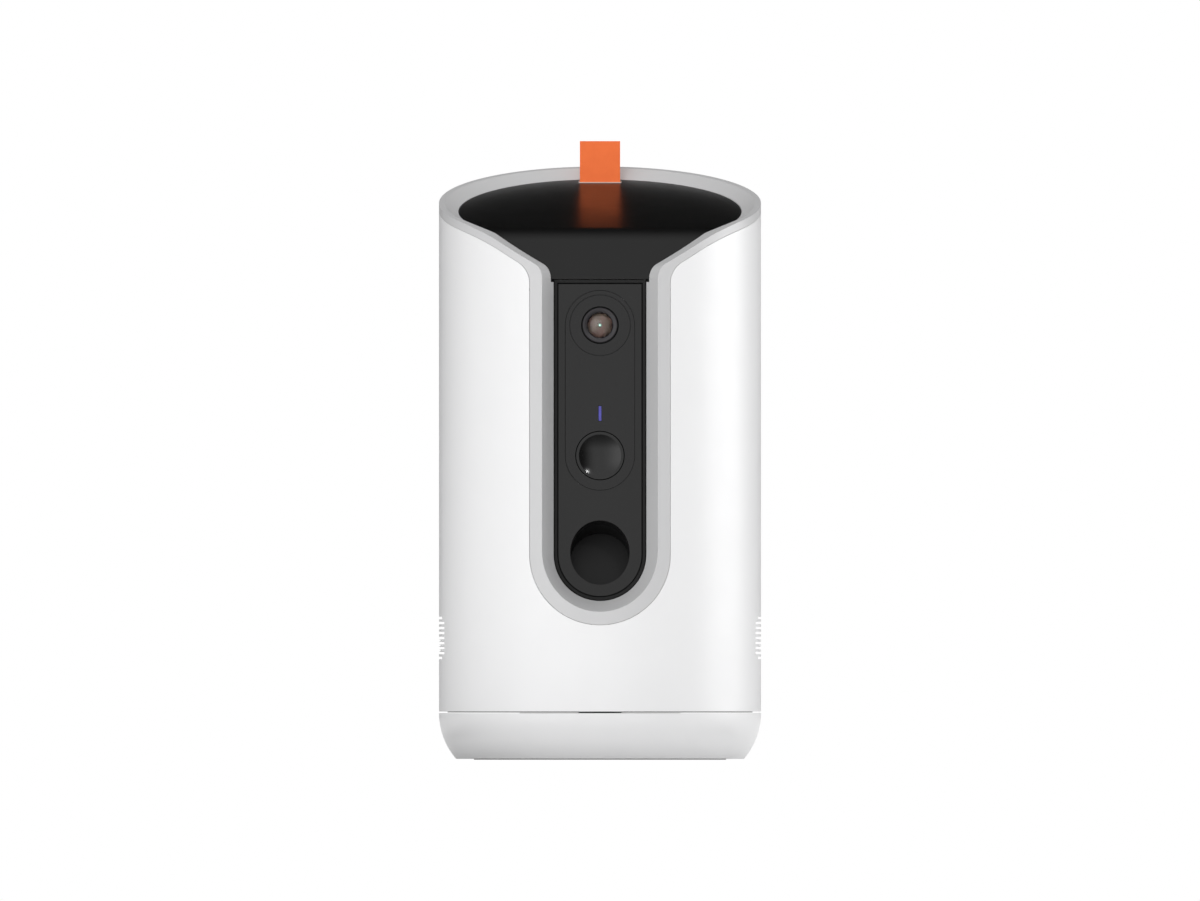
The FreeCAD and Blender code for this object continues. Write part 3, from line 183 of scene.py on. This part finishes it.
class Look:
    """One node material: a Principled shader with colour, roughness and bump worked out by nodes."""

    def __init__(self, name, colour, roughness, **sockets):
        self.material = bpy.data.materials.new(name)
        self.material.use_nodes = True
        self.tree = self.material.node_tree
        self.shader = self.tree.nodes["Principled BSDF"]
        self.colour = colour
        self.roughness = roughness
        self.set(Base_Color=colour, Roughness=roughness, **sockets)
        self.height = None
        self.edge_radius = 0.0
        self.finished = False

    def node(self, kind, **settings):
        made = self.tree.nodes.new("ShaderNode" + kind)
        for key, value in settings.items():
            setattr(made, key, value)
        return made

    def link(self, source, target):
        self.tree.links.new(source, target)

    def feed(self, value, socket):
        """Give a socket a number, a colour or another node's output."""
        if isinstance(value, (int, float)):
            socket.default_value = value
        elif isinstance(value, tuple):
            socket.default_value = (*value, 1)
        else:
            self.link(value, socket)

    def set(self, **values):
        """Feed the shader's sockets, whose names have _ for a space here."""
        for key, value in values.items():
            self.feed(value, self.shader.inputs[key.replace("_", " ")])

    def coordinates(self, scale=(1, 1, 1)):
        place = self.node("TexCoord")
        mapping = self.node("Mapping")
        mapping.inputs["Scale"].default_value = scale
        self.link(place.outputs["Object"], mapping.inputs["Vector"])
        return mapping.outputs["Vector"]

    def noise(self, size_mm, detail=3.0, rough=0.55, stretch=(1, 1, 1)):
        """Noise whose cells are about size_mm across."""
        made = self.node("TexNoise")
        made.inputs["Scale"].default_value = 1 / (size_mm * MM)
        made.inputs["Detail"].default_value = detail
        made.inputs["Roughness"].default_value = rough
        self.link(self.coordinates(stretch), made.inputs["Vector"])
        return made.outputs["Fac"]

    def math(self, operation, *values):
        made = self.node("Math", operation=operation)
        for value, socket in zip(values, made.inputs):
            self.feed(value, socket)
        return made.outputs[0]

    def mix(self, share, first, second):
        """Colour that goes from the first to the second with the share."""
        made = self.node("Mix", data_type="RGBA")
        self.feed(first, made.inputs["A"])
        self.feed(second, made.inputs["B"])
        self.feed(share, made.inputs["Factor"])
        return made.outputs["Result"]

    def range(self, value, low, high, to_low, to_high, smooth=False):
        made = self.node("MapRange", interpolation_type="SMOOTHSTEP" if smooth else "LINEAR")
        for index, number in enumerate((low, high, to_low, to_high), start=1):
            made.inputs[index].default_value = number
        self.link(value, made.inputs[0])
        return made.outputs[0]

    def sweep(self, turn, start, end, first, last):
        """Soft change from first to last while the turn goes from start to end, in degrees."""
        return self.range(turn, math.radians(start), math.radians(end), first, last, smooth=True)

    def axis(self, letter):
        place = self.node("TexCoord")
        parts = self.node("SeparateXYZ")
        self.link(place.outputs["Object"], parts.inputs[0])
        return parts.outputs[letter]

    def distance(self, first, second):
        """Length of a line from its parts along two axes."""
        squares = self.math("ADD", self.math("POWER", first, 2.0), self.math("POWER", second, 2.0))
        return self.math("SQRT", squares)

    def radius_level(self, height_mm):
        """Distance from the axis that runs front to back at this height."""
        rise = self.math("SUBTRACT", self.axis("Z"), height_mm * MM)
        return self.distance(rise, self.axis("X"))

    def radius_upright(self):
        """Distance from the upright axis through the object."""
        return self.distance(self.axis("X"), self.axis("Y"))

    def vary_roughness(self, source, spread):
        low = self.roughness - spread
        high = self.roughness + spread
        self.set(Roughness=self.range(source, NOISE_LOW, NOISE_HIGH, low, high))

    def vary_colour(self, source, other, low=NOISE_LOW, high=NOISE_HIGH):
        share = self.range(source, low, high, 0.0, 1.0)
        self.set(Base_Color=self.mix(share, self.colour, other))

    def add_height(self, source, amount_mm):
        scaled = self.math("MULTIPLY", source, amount_mm * MM)
        self.height = scaled if self.height is None else self.math("ADD", self.height, scaled)

    def finish(self):
        """Link the bump, once, and give the material."""
        if self.height is not None and not self.finished:
            bump = self.node("Bump")
            if self.edge_radius:
                bevel = self.node("Bevel", samples=BEVEL_SAMPLES)
                bevel.inputs["Radius"].default_value = self.edge_radius
                self.link(bevel.outputs["Normal"], bump.inputs["Normal"])
            bump.inputs["Distance"].default_value = 1.0
            self.link(self.height, bump.inputs["Height"])
            self.set(Normal=bump.outputs["Normal"])
        self.finished = True
        return self.material


def shaded(colour, share):
    return tuple(share * part for part in colour)


def moulded(name, colour, roughness, grain_mm=0.35, grain_depth=0.004, edge_mm=0.0, **sockets):
    """Moulded plastic or rubber: fine grain, and patches that differ a little in gloss and tone."""
    look = Look(name, colour, roughness, **sockets)
    look.edge_radius = edge_mm * MM
    look.add_height(look.noise(grain_mm, detail=2.0, rough=0.5), grain_depth)
    patches = look.noise(PATCH_SIZE, detail=2.0, rough=0.5)
    look.vary_roughness(patches, spread=0.02)
    look.vary_colour(patches, shaded(colour, 0.99))
    return look


def metal(name, colour, roughness, brushed=(1, 1, 12)):
    """Metal with fine lines; brushed says how much finer they are along each axis."""
    look = Look(name, colour, roughness, Metallic=1.0)
    lines = look.noise(0.9, detail=4.0, rough=0.6, stretch=brushed)
    look.add_height(lines, 0.003)
    look.vary_roughness(lines, spread=0.08)
    look.vary_colour(lines, shaded(colour, 0.8))
    return look


# ---- looks of single pieces ------------------------------------------------
def circuit_look():
    """Solder mask over copper: tracks show as slightly raised, lighter paths."""
    look = Look("circuit_board_finish", (0.012, 0.085, 0.035), 0.38)
    tracks = look.node("TexBrick", offset=0.35, squash=1.6)
    tracks.inputs["Scale"].default_value = 260.0
    tracks.inputs["Mortar Size"].default_value = 0.035
    look.link(look.coordinates(scale=(1, 0.4, 1)), tracks.inputs["Vector"])
    look.vary_colour(tracks.outputs["Fac"], (0.03, 0.19, 0.07), low=0.0, high=1.0)
    look.add_height(tracks.outputs["Fac"], 0.03)
    look.vary_roughness(look.noise(3.0), spread=0.06)
    return look


def button_look():
    """Polished dish; the flange at the bottom of the gap round the button is left matt."""
    gloss = 0.17
    look = moulded("button_black_finish", grey(0.005), gloss,
                   grain_mm=0.4, grain_depth=0.0004, edge_mm=0.2, IOR=1.47)
    outside = BUTTON_RADIUS * MM
    inside = outside - BUTTON_EDGE * MM
    look.set(Roughness=look.range(look.radius_level(BUTTON_HEIGHT), inside, outside, gloss, 1.0))
    return look


def trim_look():
    """Fine matt black of the recessed trim, the carrier behind the gaps and the window's ring."""
    return moulded("trim_finish", grey(0.009), 0.7,
                   grain_mm=0.3, grain_depth=0.01, edge_mm=0.15, Specular_IOR_Level=0.3)


def lens_glass_look():
    """Clear, slightly warm front element."""
    look = Look("lens_glass_finish", (0.9, 0.87, 0.84), 0.02, IOR=1.33, Transmission_Weight=1.0)
    look.add_height(look.noise(6.0, detail=1.0, rough=0.4), 0.0004)
    look.vary_colour(look.noise(5.0), (0.86, 0.84, 0.83))
    return look


def light_look():
    """Lit light pipe, brightest in the middle."""
    look = Look("status_light_finish", (0.045, 0.04, 0.2), 0.3, Emission_Strength=0.36)
    off_middle = look.math("ABSOLUTE", look.math("SUBTRACT", look.axis("Z"), LIGHT_HEIGHT * MM))
    share = look.range(off_middle, 0.0, GLOW_REACH * MM, 1.0, GLOW_END)
    look.set(Emission_Color=look.mix(share, (0.01, 0.01, 0.05), (0.08, 0.075, 0.5)))
    return look


def tab_look():
    """Matt orange silicone with fine level ribs."""
    look = Look("orange_tab_finish", (1.0, 0.19, 0.04), 0.55, Sheen_Weight=0.15, Sheen_Roughness=0.4)
    ribs = look.node("TexWave", wave_type="BANDS", bands_direction="Z")
    ribs.inputs["Scale"].default_value = 420.0
    ribs.inputs["Distortion"].default_value = 0.4
    ribs.inputs["Detail"].default_value = 1.0
    look.link(look.coordinates(), ribs.inputs["Vector"])
    look.add_height(ribs.outputs["Fac"], 0.006)
    look.add_height(look.noise(0.25), 0.006)
    look.vary_colour(look.noise(4.0), (0.96, 0.175, 0.036))
    return look


def coated_look():
    """Warm grey coating with fine turned rings."""
    look = Look("lens_coating_finish", (0.155, 0.125, 0.105), 0.55, Specular_IOR_Level=0.15)
    turns = look.math("MULTIPLY", look.radius_level(CAMERA_HEIGHT), 2 * math.pi / (COATING_PITCH * MM))
    look.add_height(look.math("SINE", turns), 0.002)
    look.vary_colour(look.noise(3.5, detail=1.0), (0.19, 0.125, 0.11), low=0.45, high=0.6)
    return look


def iris_look():
    """Dark green glass at the middle of the lens."""
    look = Look("lens_iris_finish", (0.05, 0.15, 0.11), 0.3, Coat_Weight=0.5, Coat_Roughness=0.1)
    look.vary_colour(look.noise(0.6), (0.07, 0.17, 0.13))
    look.add_height(look.noise(0.5), 0.0006)
    return look


def core_look():
    """Bright green mirror at the middle of the iris."""
    look = Look("lens_core_finish", (0.55, 0.95, 0.82), 0.12, Metallic=1.0)
    look.vary_colour(look.noise(0.3), (0.6, 1.0, 0.88))
    look.add_height(look.noise(0.4), 0.0004)
    return look


# the first part is named as the record's slots; trim and what follows it are only used here
LOOKS = {
    "white_plastic": moulded("white_plastic_finish", (0.87, 0.87, 0.875), 0.34,
                             grain_mm=0.3, grain_depth=0.0025, edge_mm=0.3),
    "grey_bezel": moulded("grey_bezel_finish", (0.6, 0.6, 0.605), 0.38,
                          grain_mm=0.3, grain_depth=0.003, edge_mm=0.3),
    "black_gloss": moulded("black_gloss_finish", grey(0.0055), 0.3,
                           grain_mm=0.4, grain_depth=0.0006, edge_mm=0.2, IOR=1.45),
    "lens_ring": moulded("lens_ring_finish", (0.02, 0.018, 0.0205), 0.45, grain_mm=0.25),
    "smoked_window": moulded("smoked_window_finish", (0.0055, 0.0055, 0.0056), 0.2,
                             grain_mm=0.4, grain_depth=0.0005, edge_mm=0.15, IOR=1.45),
    "dark_plastic": moulded("dark_plastic_finish", (0.03, 0.03, 0.031), 0.48, grain_depth=0.006),
    "barrel_black": moulded("barrel_black_finish", (0.0085, 0.0085, 0.0086), 0.5, Specular_IOR_Level=0.2),
    "hopper_plastic": moulded("hopper_plastic_finish", (0.62, 0.63, 0.63), 0.4,
                              grain_mm=0.4, grain_depth=0.005),
    "rotor_plastic": moulded("rotor_plastic_finish", (0.76, 0.76, 0.755), 0.4,
                             grain_mm=0.4, grain_depth=0.005),
    "gear_plastic": moulded("gear_plastic_finish", (0.68, 0.66, 0.58), 0.42,
                            grain_mm=0.4, grain_depth=0.005),
    "steel": metal("steel_finish", (0.56, 0.56, 0.57), 0.28),
    "ballast_iron": metal("ballast_iron_finish", (0.2, 0.195, 0.19), 0.55, brushed=(1, 1, 1)),
    "motor_steel": metal("motor_steel_finish", (0.5, 0.5, 0.51), 0.34, brushed=(1, 1, 10)),
    "circuit_board": circuit_look(),
    "speaker_black": moulded("speaker_black_finish", grey(0.02), 0.7, grain_mm=0.8, grain_depth=0.03),
    "foot_rubber": moulded("foot_rubber_finish", grey(0.42), 0.78, grain_mm=0.5, grain_depth=0.02),
    "seal_rubber": moulded("seal_rubber_finish", (0.36, 0.36, 0.37), 0.66, grain_mm=0.5, grain_depth=0.01),
    "button_black": button_look(),
    "lens_glass": lens_glass_look(),
    "status_light": light_look(),
    "orange_tab": tab_look(),
    "trim": trim_look(),
    "lens_coating": coated_look(),
    "lens_iris": iris_look(),
    "lens_core": core_look(),
    "slot_lip": moulded("slot_lip_finish", (0.62, 0.5, 0.44), 0.45, grain_mm=0.3, grain_depth=0.003),
}

for node in nodes.values():
    for entry in node.material_slots:
        entry.material = LOOKS[entry.material.name.split(".")[0]].finish()
for name in ("panel_frame", "camera_mount"):
    nodes[name].material_slots[0].material = LOOKS["trim"].finish()


# ---- pieces --------------------------------------------------------------
def place_mesh(name, shape, look, body):
    """Object made from a finished bmesh; it rides on the named body."""
    bmesh.ops.recalc_face_normals(shape, faces=shape.faces)
    mesh = bpy.data.meshes.new(name)
    shape.to_mesh(mesh)
    shape.free()
    mesh.materials.append(LOOKS[look].finish())
    piece = bpy.data.objects.new(name, mesh)
    bpy.context.scene.collection.objects.link(piece)
    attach(piece, body)
    return piece


def shade_smooth(piece, sharp_from):
    """Smooth shading, apart from edges that turn by more than sharp_from degrees."""
    piece.data.shade_smooth()
    piece.data.set_sharp_from_angle(angle=math.radians(sharp_from))


def join_rings(shape, first, second):
    """Faces between two rings of as many points each."""
    for i in range(len(first)):
        j = (i + 1) % len(first)
        shape.faces.new((first[i], first[j], second[j], second[i]))


def turned(name, profile, look, segments=72):
    """Solid turned round the camera's axis; profile is a closed line of (radius, y) in millimetres."""
    shape = bmesh.new()
    rings = []
    for step in range(segments):
        turn = 2 * math.pi * step / segments
        ring = []
        for radius, y in profile:
            x, z = radius * math.cos(turn), CAMERA_HEIGHT + radius * math.sin(turn)
            ring.append(shape.verts.new((x * MM, y * MM, z * MM)))
        rings.append(ring)
    for ring, following in zip(rings, rings[1:] + rings[:1]):
        join_rings(shape, ring, following)
    bmesh.ops.remove_doubles(shape, verts=shape.verts, dist=SAME_POINT * MM)
    piece = place_mesh(name, shape, look, "camera_body")
    shade_smooth(piece, sharp_from=35)
    return piece


def dome(ball, apex, radius, steps=14):
    """Points of a dome's section from its apex out to its edge."""
    points = []
    for step in range(steps + 1):
        r = radius * step / steps
        points.append((r, apex + ball - math.sqrt(ball ** 2 - r ** 2)))
    return points


def domed_plug(ball, apex, radius, back):
    """Section of a round plug with a domed front and a flat back."""
    return dome(ball, apex, radius) + [(radius, back), (0.0, back)]


def rounded_edge(radius, face, size, steps=4):
    """Quarter round from the outside of a turned piece to its front face."""
    points = []
    for step in range(steps + 1):
        turn = 0.5 * math.pi * step / steps
        points.append((radius - size * (1 - math.cos(turn)), face + size * (1 - math.sin(turn))))
    return points


def make_camera_ring():
    """Barrel of the camera: rounded front edge, slightly dished face and the wall round the glass."""
    face = RING_FACE
    step = face + STEP_DEPTH
    shoulder = face + RING_SHOULDER
    back = face + BARREL_LENGTH
    floor = GLASS_BACK + WELL_FLOOR_GAP
    well = GLASS_RADIUS + WELL_CLEARANCE
    profile = rounded_edge(RING_RADIUS, face, RING_ROUNDING)
    profile += [(RING_LAND, face), (STEP_RADIUS, step), (STEP_RADIUS - STEP_ROUNDING, step + STEP_SLANT)]
    profile += [(well, face + WELL_DEPTH), (well, floor), (0.0, floor), (0.0, back)]
    profile += [(BARREL_RADIUS, back), (BARREL_RADIUS, shoulder), (RING_RADIUS, shoulder)]
    ring = turned("camera_ring", profile, "lens_ring")
    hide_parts("camera_barrel")


def make_lens():
    """Front element, the coated element behind it, its dark iris and the small bright centre."""
    outside = dome(DOME_RADIUS, GLASS_APEX, GLASS_RADIUS)
    inside = dome(DOME_RADIUS, GLASS_APEX + GLASS_WALL, GLASS_RADIUS)
    front = turned("lens_front", outside + inside[::-1], "lens_glass")
    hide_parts("lens_glass")
    coated = domed_plug(DOME_RADIUS, COATED_APEX, COATED_RADIUS, GLASS_BACK)
    second = turned("lens_second", coated, "lens_coating")
    pupil = domed_plug(IRIS_DOME, IRIS_APEX, IRIS_RADIUS, IRIS_ROOT)
    iris = turned("lens_iris", pupil, "lens_iris")
    point = domed_plug(CORE_DOME, CORE_APEX, CORE_RADIUS, CORE_ROOT)
    centre = turned("lens_core", point, "lens_core")


def make_window_bead():
    """Fine raised matt ring on the window round the camera."""
    profile = []
    levels = ((BEAD_WIDTH, BEAD_ROOT), (BEAD_WIDTH, 0.0), (BEAD_CREST, -BEAD_HEIGHT))
    for width, y in levels:
        profile.append((BEAD_RADIUS + width / 2, PANEL_FACE + y))
    for width, y in levels[::-1]:
        profile.append((BEAD_RADIUS - width / 2, PANEL_FACE + y))
    bead = turned("window_bead", profile, "trim", segments=144)


def make_slot_lip():
    """Narrow rounded lip round the slot that the pull tab stands in, on the slope of the lid."""
    half_x = TAB_WIDTH / 2 + LIP_WIDTH
    half_y = TAB_THICKNESS / 2 + LIP_WIDTH
    shape = bmesh.new()
    loops = []
    sections = ((0.0, 0.0), (LIP_SLANT, LIP_HEIGHT), (LIP_WIDTH - LIP_SLANT, LIP_HEIGHT), (LIP_WIDTH, 0.0))
    for inset, rise in sections:
        loop = []
        for side, end in ((-1, -1), (1, -1), (1, 1), (-1, 1)):
            x, y = side * (half_x - inset), TAB_Y + end * (half_y - inset)
            z = LID_HEIGHT + LID_SLOPE * y + rise
            loop.append(shape.verts.new((x * MM, y * MM, z * MM)))
        loops.append(loop)
    for loop, following in zip(loops, loops[1:] + loops[:1]):
        join_rings(shape, loop, following)
    lip = place_mesh("slot_lip", shape, "slot_lip", "lid")
    rounding = lip.modifiers.new("rounding", "BEVEL")
    rounding.width = LIP_ROUNDING * MM
    rounding.segments = 2


def along_barrel(distance):
    """Point on the launch barrel's axis, this far behind the panel's face, in metres."""
    y = PANEL_FACE + distance * math.cos(LAUNCH_ANGLE)
    z = OUTLET_HEIGHT - distance * math.sin(LAUNCH_ANGLE)
    return Vector((0, y * MM, z * MM))


def spring_lift(turns):
    """Height of the wire's middle above the front end, with one closed turn at each end."""
    rise = SPRING_BACK - SPRING_FRONT - 3 * SPRING_WIRE
    if turns <= 1:
        lift = turns * SPRING_WIRE
    elif turns >= SPRING_TURNS - 1:
        lift = rise + (turns - SPRING_TURNS + 2) * SPRING_WIRE
    else:
        lift = SPRING_WIRE + rise * (turns - 1) / (SPRING_TURNS - 2)
    return lift + SPRING_WIRE / 2


def make_spring(steps=36, sides=10):
    """Coil spring behind the striker, built at one length; the real one shortens as the striker is drawn
    back.
    """
    direction = (along_barrel(1) - along_barrel(0)).normalized()
    upward = direction.cross(Vector((1, 0, 0)))
    shape = bmesh.new()
    rings = []
    for step in range(SPRING_TURNS * steps + 1):
        turn = 2 * math.pi * step / steps
        outward = Vector((math.cos(turn), 0, 0)) + math.sin(turn) * upward
        centre = along_barrel(SPRING_FRONT + spring_lift(step / steps)) + outward * SPRING_RADIUS * MM
        ring = []
        for side in range(sides):
            roll = 2 * math.pi * side / sides
            offset = math.cos(roll) * outward + math.sin(roll) * direction
            ring.append(shape.verts.new(centre + offset * SPRING_WIRE / 2 * MM))
        rings.append(ring)
    for ring, following in zip(rings, rings[1:]):
        join_rings(shape, ring, following)
    shape.faces.new(rings[0])
    shape.faces.new(rings[-1][::-1])
    spring = place_mesh("coil_spring", shape, "steel", "camera_body")
    shade_smooth(spring, sharp_from=50)
    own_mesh(spring)
    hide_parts("striker_spring")


make_camera_ring()
make_lens()
make_window_bead()
make_slot_lip()
make_spring()


# ---- stage, light and camera ---------------------------------------------
def any_ray(tree, kinds):
    """Output that is 1 for rays of any of these kinds."""
    rays = tree.nodes.new("ShaderNodeLightPath")
    either = rays.outputs[kinds[0]]
    for kind in kinds[1:]:
        larger = tree.nodes.new("ShaderNodeMath")
        larger.operation = "MAXIMUM"
        tree.links.new(either, larger.inputs[0])
        tree.links.new(rays.outputs[kind], larger.inputs[1])
        either = larger.outputs[0]
    return either


def make_world():
    """White for the rays in SEEN; its light on the object is weaker."""
    world = bpy.data.worlds.new("studio")
    world.use_nodes = True
    tree = world.node_tree
    strength = tree.nodes.new("ShaderNodeMapRange")
    strength.inputs["To Min"].default_value = WORLD_GLOW
    strength.inputs["To Max"].default_value = 1.0
    tree.links.new(any_ray(tree, SEEN), strength.inputs["Value"])
    background = tree.nodes["Background"]
    background.inputs["Color"].default_value = (*WHITE, 1)
    tree.links.new(strength.outputs[0], background.inputs["Strength"])
    bpy.context.scene.world = world


def make_lamp(name, azimuth, height, distance, size, power, glossy=False, diffuse=True):
    """Square soft light; azimuth 0 is in front of the object and grows to its right."""
    data = bpy.data.lights.new(name, "AREA")
    data.energy = power
    data.size = size
    lamp = bpy.data.objects.new(name, data)
    lamp.visible_glossy = glossy
    lamp.visible_diffuse = diffuse
    turn = math.radians(azimuth)
    lamp.location = (distance * math.sin(turn), -distance * math.cos(turn), height)
    lamp.rotation_euler = (Vector((0, 0, AIM_HEIGHT)) - lamp.location).to_track_quat("-Z", "Y").to_euler()
    bpy.context.scene.collection.objects.link(lamp)


def mesh_object(name, corners, faces, look):
    """Object at the origin, with the look's material."""
    mesh = bpy.data.meshes.new(name)
    mesh.from_pydata(corners, [], faces)
    mesh.materials.append(look.finish())
    made = bpy.data.objects.new(name, mesh)
    bpy.context.scene.collection.objects.link(made)
    return made


def make_card(name, corners, glow):
    """Card that only reflections see; corners come in pairs along it, and glow works out its brightness."""
    look = Look(name + "_cloth", BLACK, 1.0, Specular_IOR_Level=0.0, Emission_Color=WHITE)
    look.set(Emission_Strength=glow(look))
    look.material.cycles.emission_sampling = "NONE"
    faces = [(i, i + 2, i + 3, i + 1) for i in range(0, len(corners) - 2, 2)]
    card = mesh_object(name, corners, faces, look)
    card.visible_camera = False
    card.visible_diffuse = False
    card.visible_transmission = False
    card.visible_shadow = False


def card_turns(start, end):
    """Turns of a bent card's corners, in radians; start and end are in degrees."""
    return [math.radians(turn) for turn in range(start, end + CARD_STEP, CARD_STEP)]


def canopy_glow(look):
    """Dark low down, lighter overhead."""
    turn = look.math("ARCTAN2", look.axis("Z"), look.axis("Y"))
    return look.sweep(turn, start=58, end=115, first=0.0, last=CANOPY_GLOW)


def make_canopy():
    """Dark room behind the object that grows lighter overhead."""
    corners = []
    for turn in card_turns(start=-10, end=115):
        y, z = CANOPY_RADIUS * math.cos(turn), CANOPY_RADIUS * math.sin(turn)
        corners += [(-CANOPY_HALF, y, z), (CANOPY_HALF, y, z)]
    make_card("canopy", corners, canopy_glow)


def surround_glow(look):
    """Bright window at the left, white ahead, dark at the right."""
    turn = look.math("ARCTAN2", look.axis("X"), look.math("MULTIPLY", look.axis("Y"), -1.0))
    rise = look.sweep(turn, start=-85, end=-45, first=0.0, last=1.0)
    fall = look.sweep(turn, start=-45, end=-5, first=WINDOW_GLOW, last=0.0)
    fade = look.range(look.axis("Z"), WINDOW_FADE, SURROUND_HEIGHT, 1.0, 0.0, smooth=True)
    window = look.math("MULTIPLY", look.math("MULTIPLY", rise, fall), fade)
    plain = look.sweep(turn, start=10, end=42, first=1.0, last=RIGHT_GLOW)
    return look.math("ADD", plain, window)


def ground_glow(look):
    """As the surround, but darker close to the object."""
    away = look.range(look.radius_upright(), GROUND_NEAR, GROUND_FAR, GROUND_GLOW, 1.0, smooth=True)
    return look.math("MULTIPLY", away, surround_glow(look))


def make_surround():
    """Upright card round the front, and one on the ground from it to the object."""
    corners = []
    ground = []
    for turn in card_turns(start=-95, end=80):
        x, y = math.sin(turn), -math.cos(turn)
        foot = (SURROUND_RADIUS * x, SURROUND_RADIUS * y, CARD_LIFT)
        corners += [foot, (SURROUND_RADIUS * x, SURROUND_RADIUS * y, SURROUND_HEIGHT)]
        ground += [(GROUND_NEAR * x, GROUND_NEAR * y, CARD_LIFT), foot]
    make_card("surround", corners, surround_glow)
    make_card("ground", ground, ground_glow)


def floor_look():
    """Pale floor; close to the object it sends less light up to the base, most of all at the left."""
    look = Look("floor_finish", grey(FLOOR_TONE), 0.9, Specular_IOR_Level=0.0, Emission_Color=WHITE)
    patches = look.range(look.noise(FLOOR_PATCH_SIZE, detail=2.0), NOISE_LOW, NOISE_HIGH, 0.0, 1.0)
    plain = look.mix(patches, grey(FLOOR_TONE), grey(FLOOR_PATCH_TONE))
    near = look.range(look.radius_upright(), SHADE_NEAR, SHADE_FAR, 1.0, 0.0, smooth=True)
    side = look.range(look.axis("X"), -SHADE_NEAR, SHADE_NEAR, 1.0, SHADE_RIGHT)
    upward = any_ray(look.tree, ["Is Diffuse Ray"])
    shade = look.math("MULTIPLY", look.math("MULTIPLY", near, side), upward)
    look.set(Base_Color=look.mix(shade, plain, grey(SHADE_TONE)))
    look.set(Emission_Strength=look.math("MULTIPLY", any_ray(look.tree, SEEN), FLOOR_LIFT))
    return look


def make_floor():
    half = FLOOR_HALF
    corners = [(-half, -half, 0), (half, -half, 0), (half, half, 0), (-half, half, 0)]
    floor = mesh_object("floor", corners, [(0, 1, 2, 3)], floor_look())
    floor.location.z = -FLOOR_DROP


def make_camera():
    """Straight from the front, without perspective, as in the picture the part was built from."""
    data = bpy.data.cameras.new("camera")
    data.type = "ORTHO"
    data.ortho_scale = PICTURE_WIDTH
    data.clip_end = CAMERA_RANGE
    camera = bpy.data.objects.new("camera", data)
    camera.location = (0, -CAMERA_DISTANCE, CAMERA_EYE)
    camera.rotation_euler = (math.radians(90), 0, 0)
    scene = bpy.context.scene
    scene.collection.objects.link(camera)
    scene.camera = camera
    scene.view_settings.view_transform = "Standard"


make_world()
make_lamp("key", azimuth=-8, height=0.45, distance=1.8, size=1.2, power=12.3)
make_lamp("key_left", azimuth=-33, height=0.7, distance=1.8, size=1.6, power=7.0)
make_lamp("fill", azimuth=101, height=0.2, distance=1.6, size=1.15, power=14.6, glossy=True)
make_lamp("top", azimuth=180, height=1.6, distance=0.35, size=1.3, power=3.0)
make_lamp("spark", azimuth=34, height=0.95, distance=1.2, size=0.05, power=2.2, glossy=True, diffuse=False)
make_canopy()
make_surround()
make_floor()
make_camera()

bpy.context.view_layer.update()
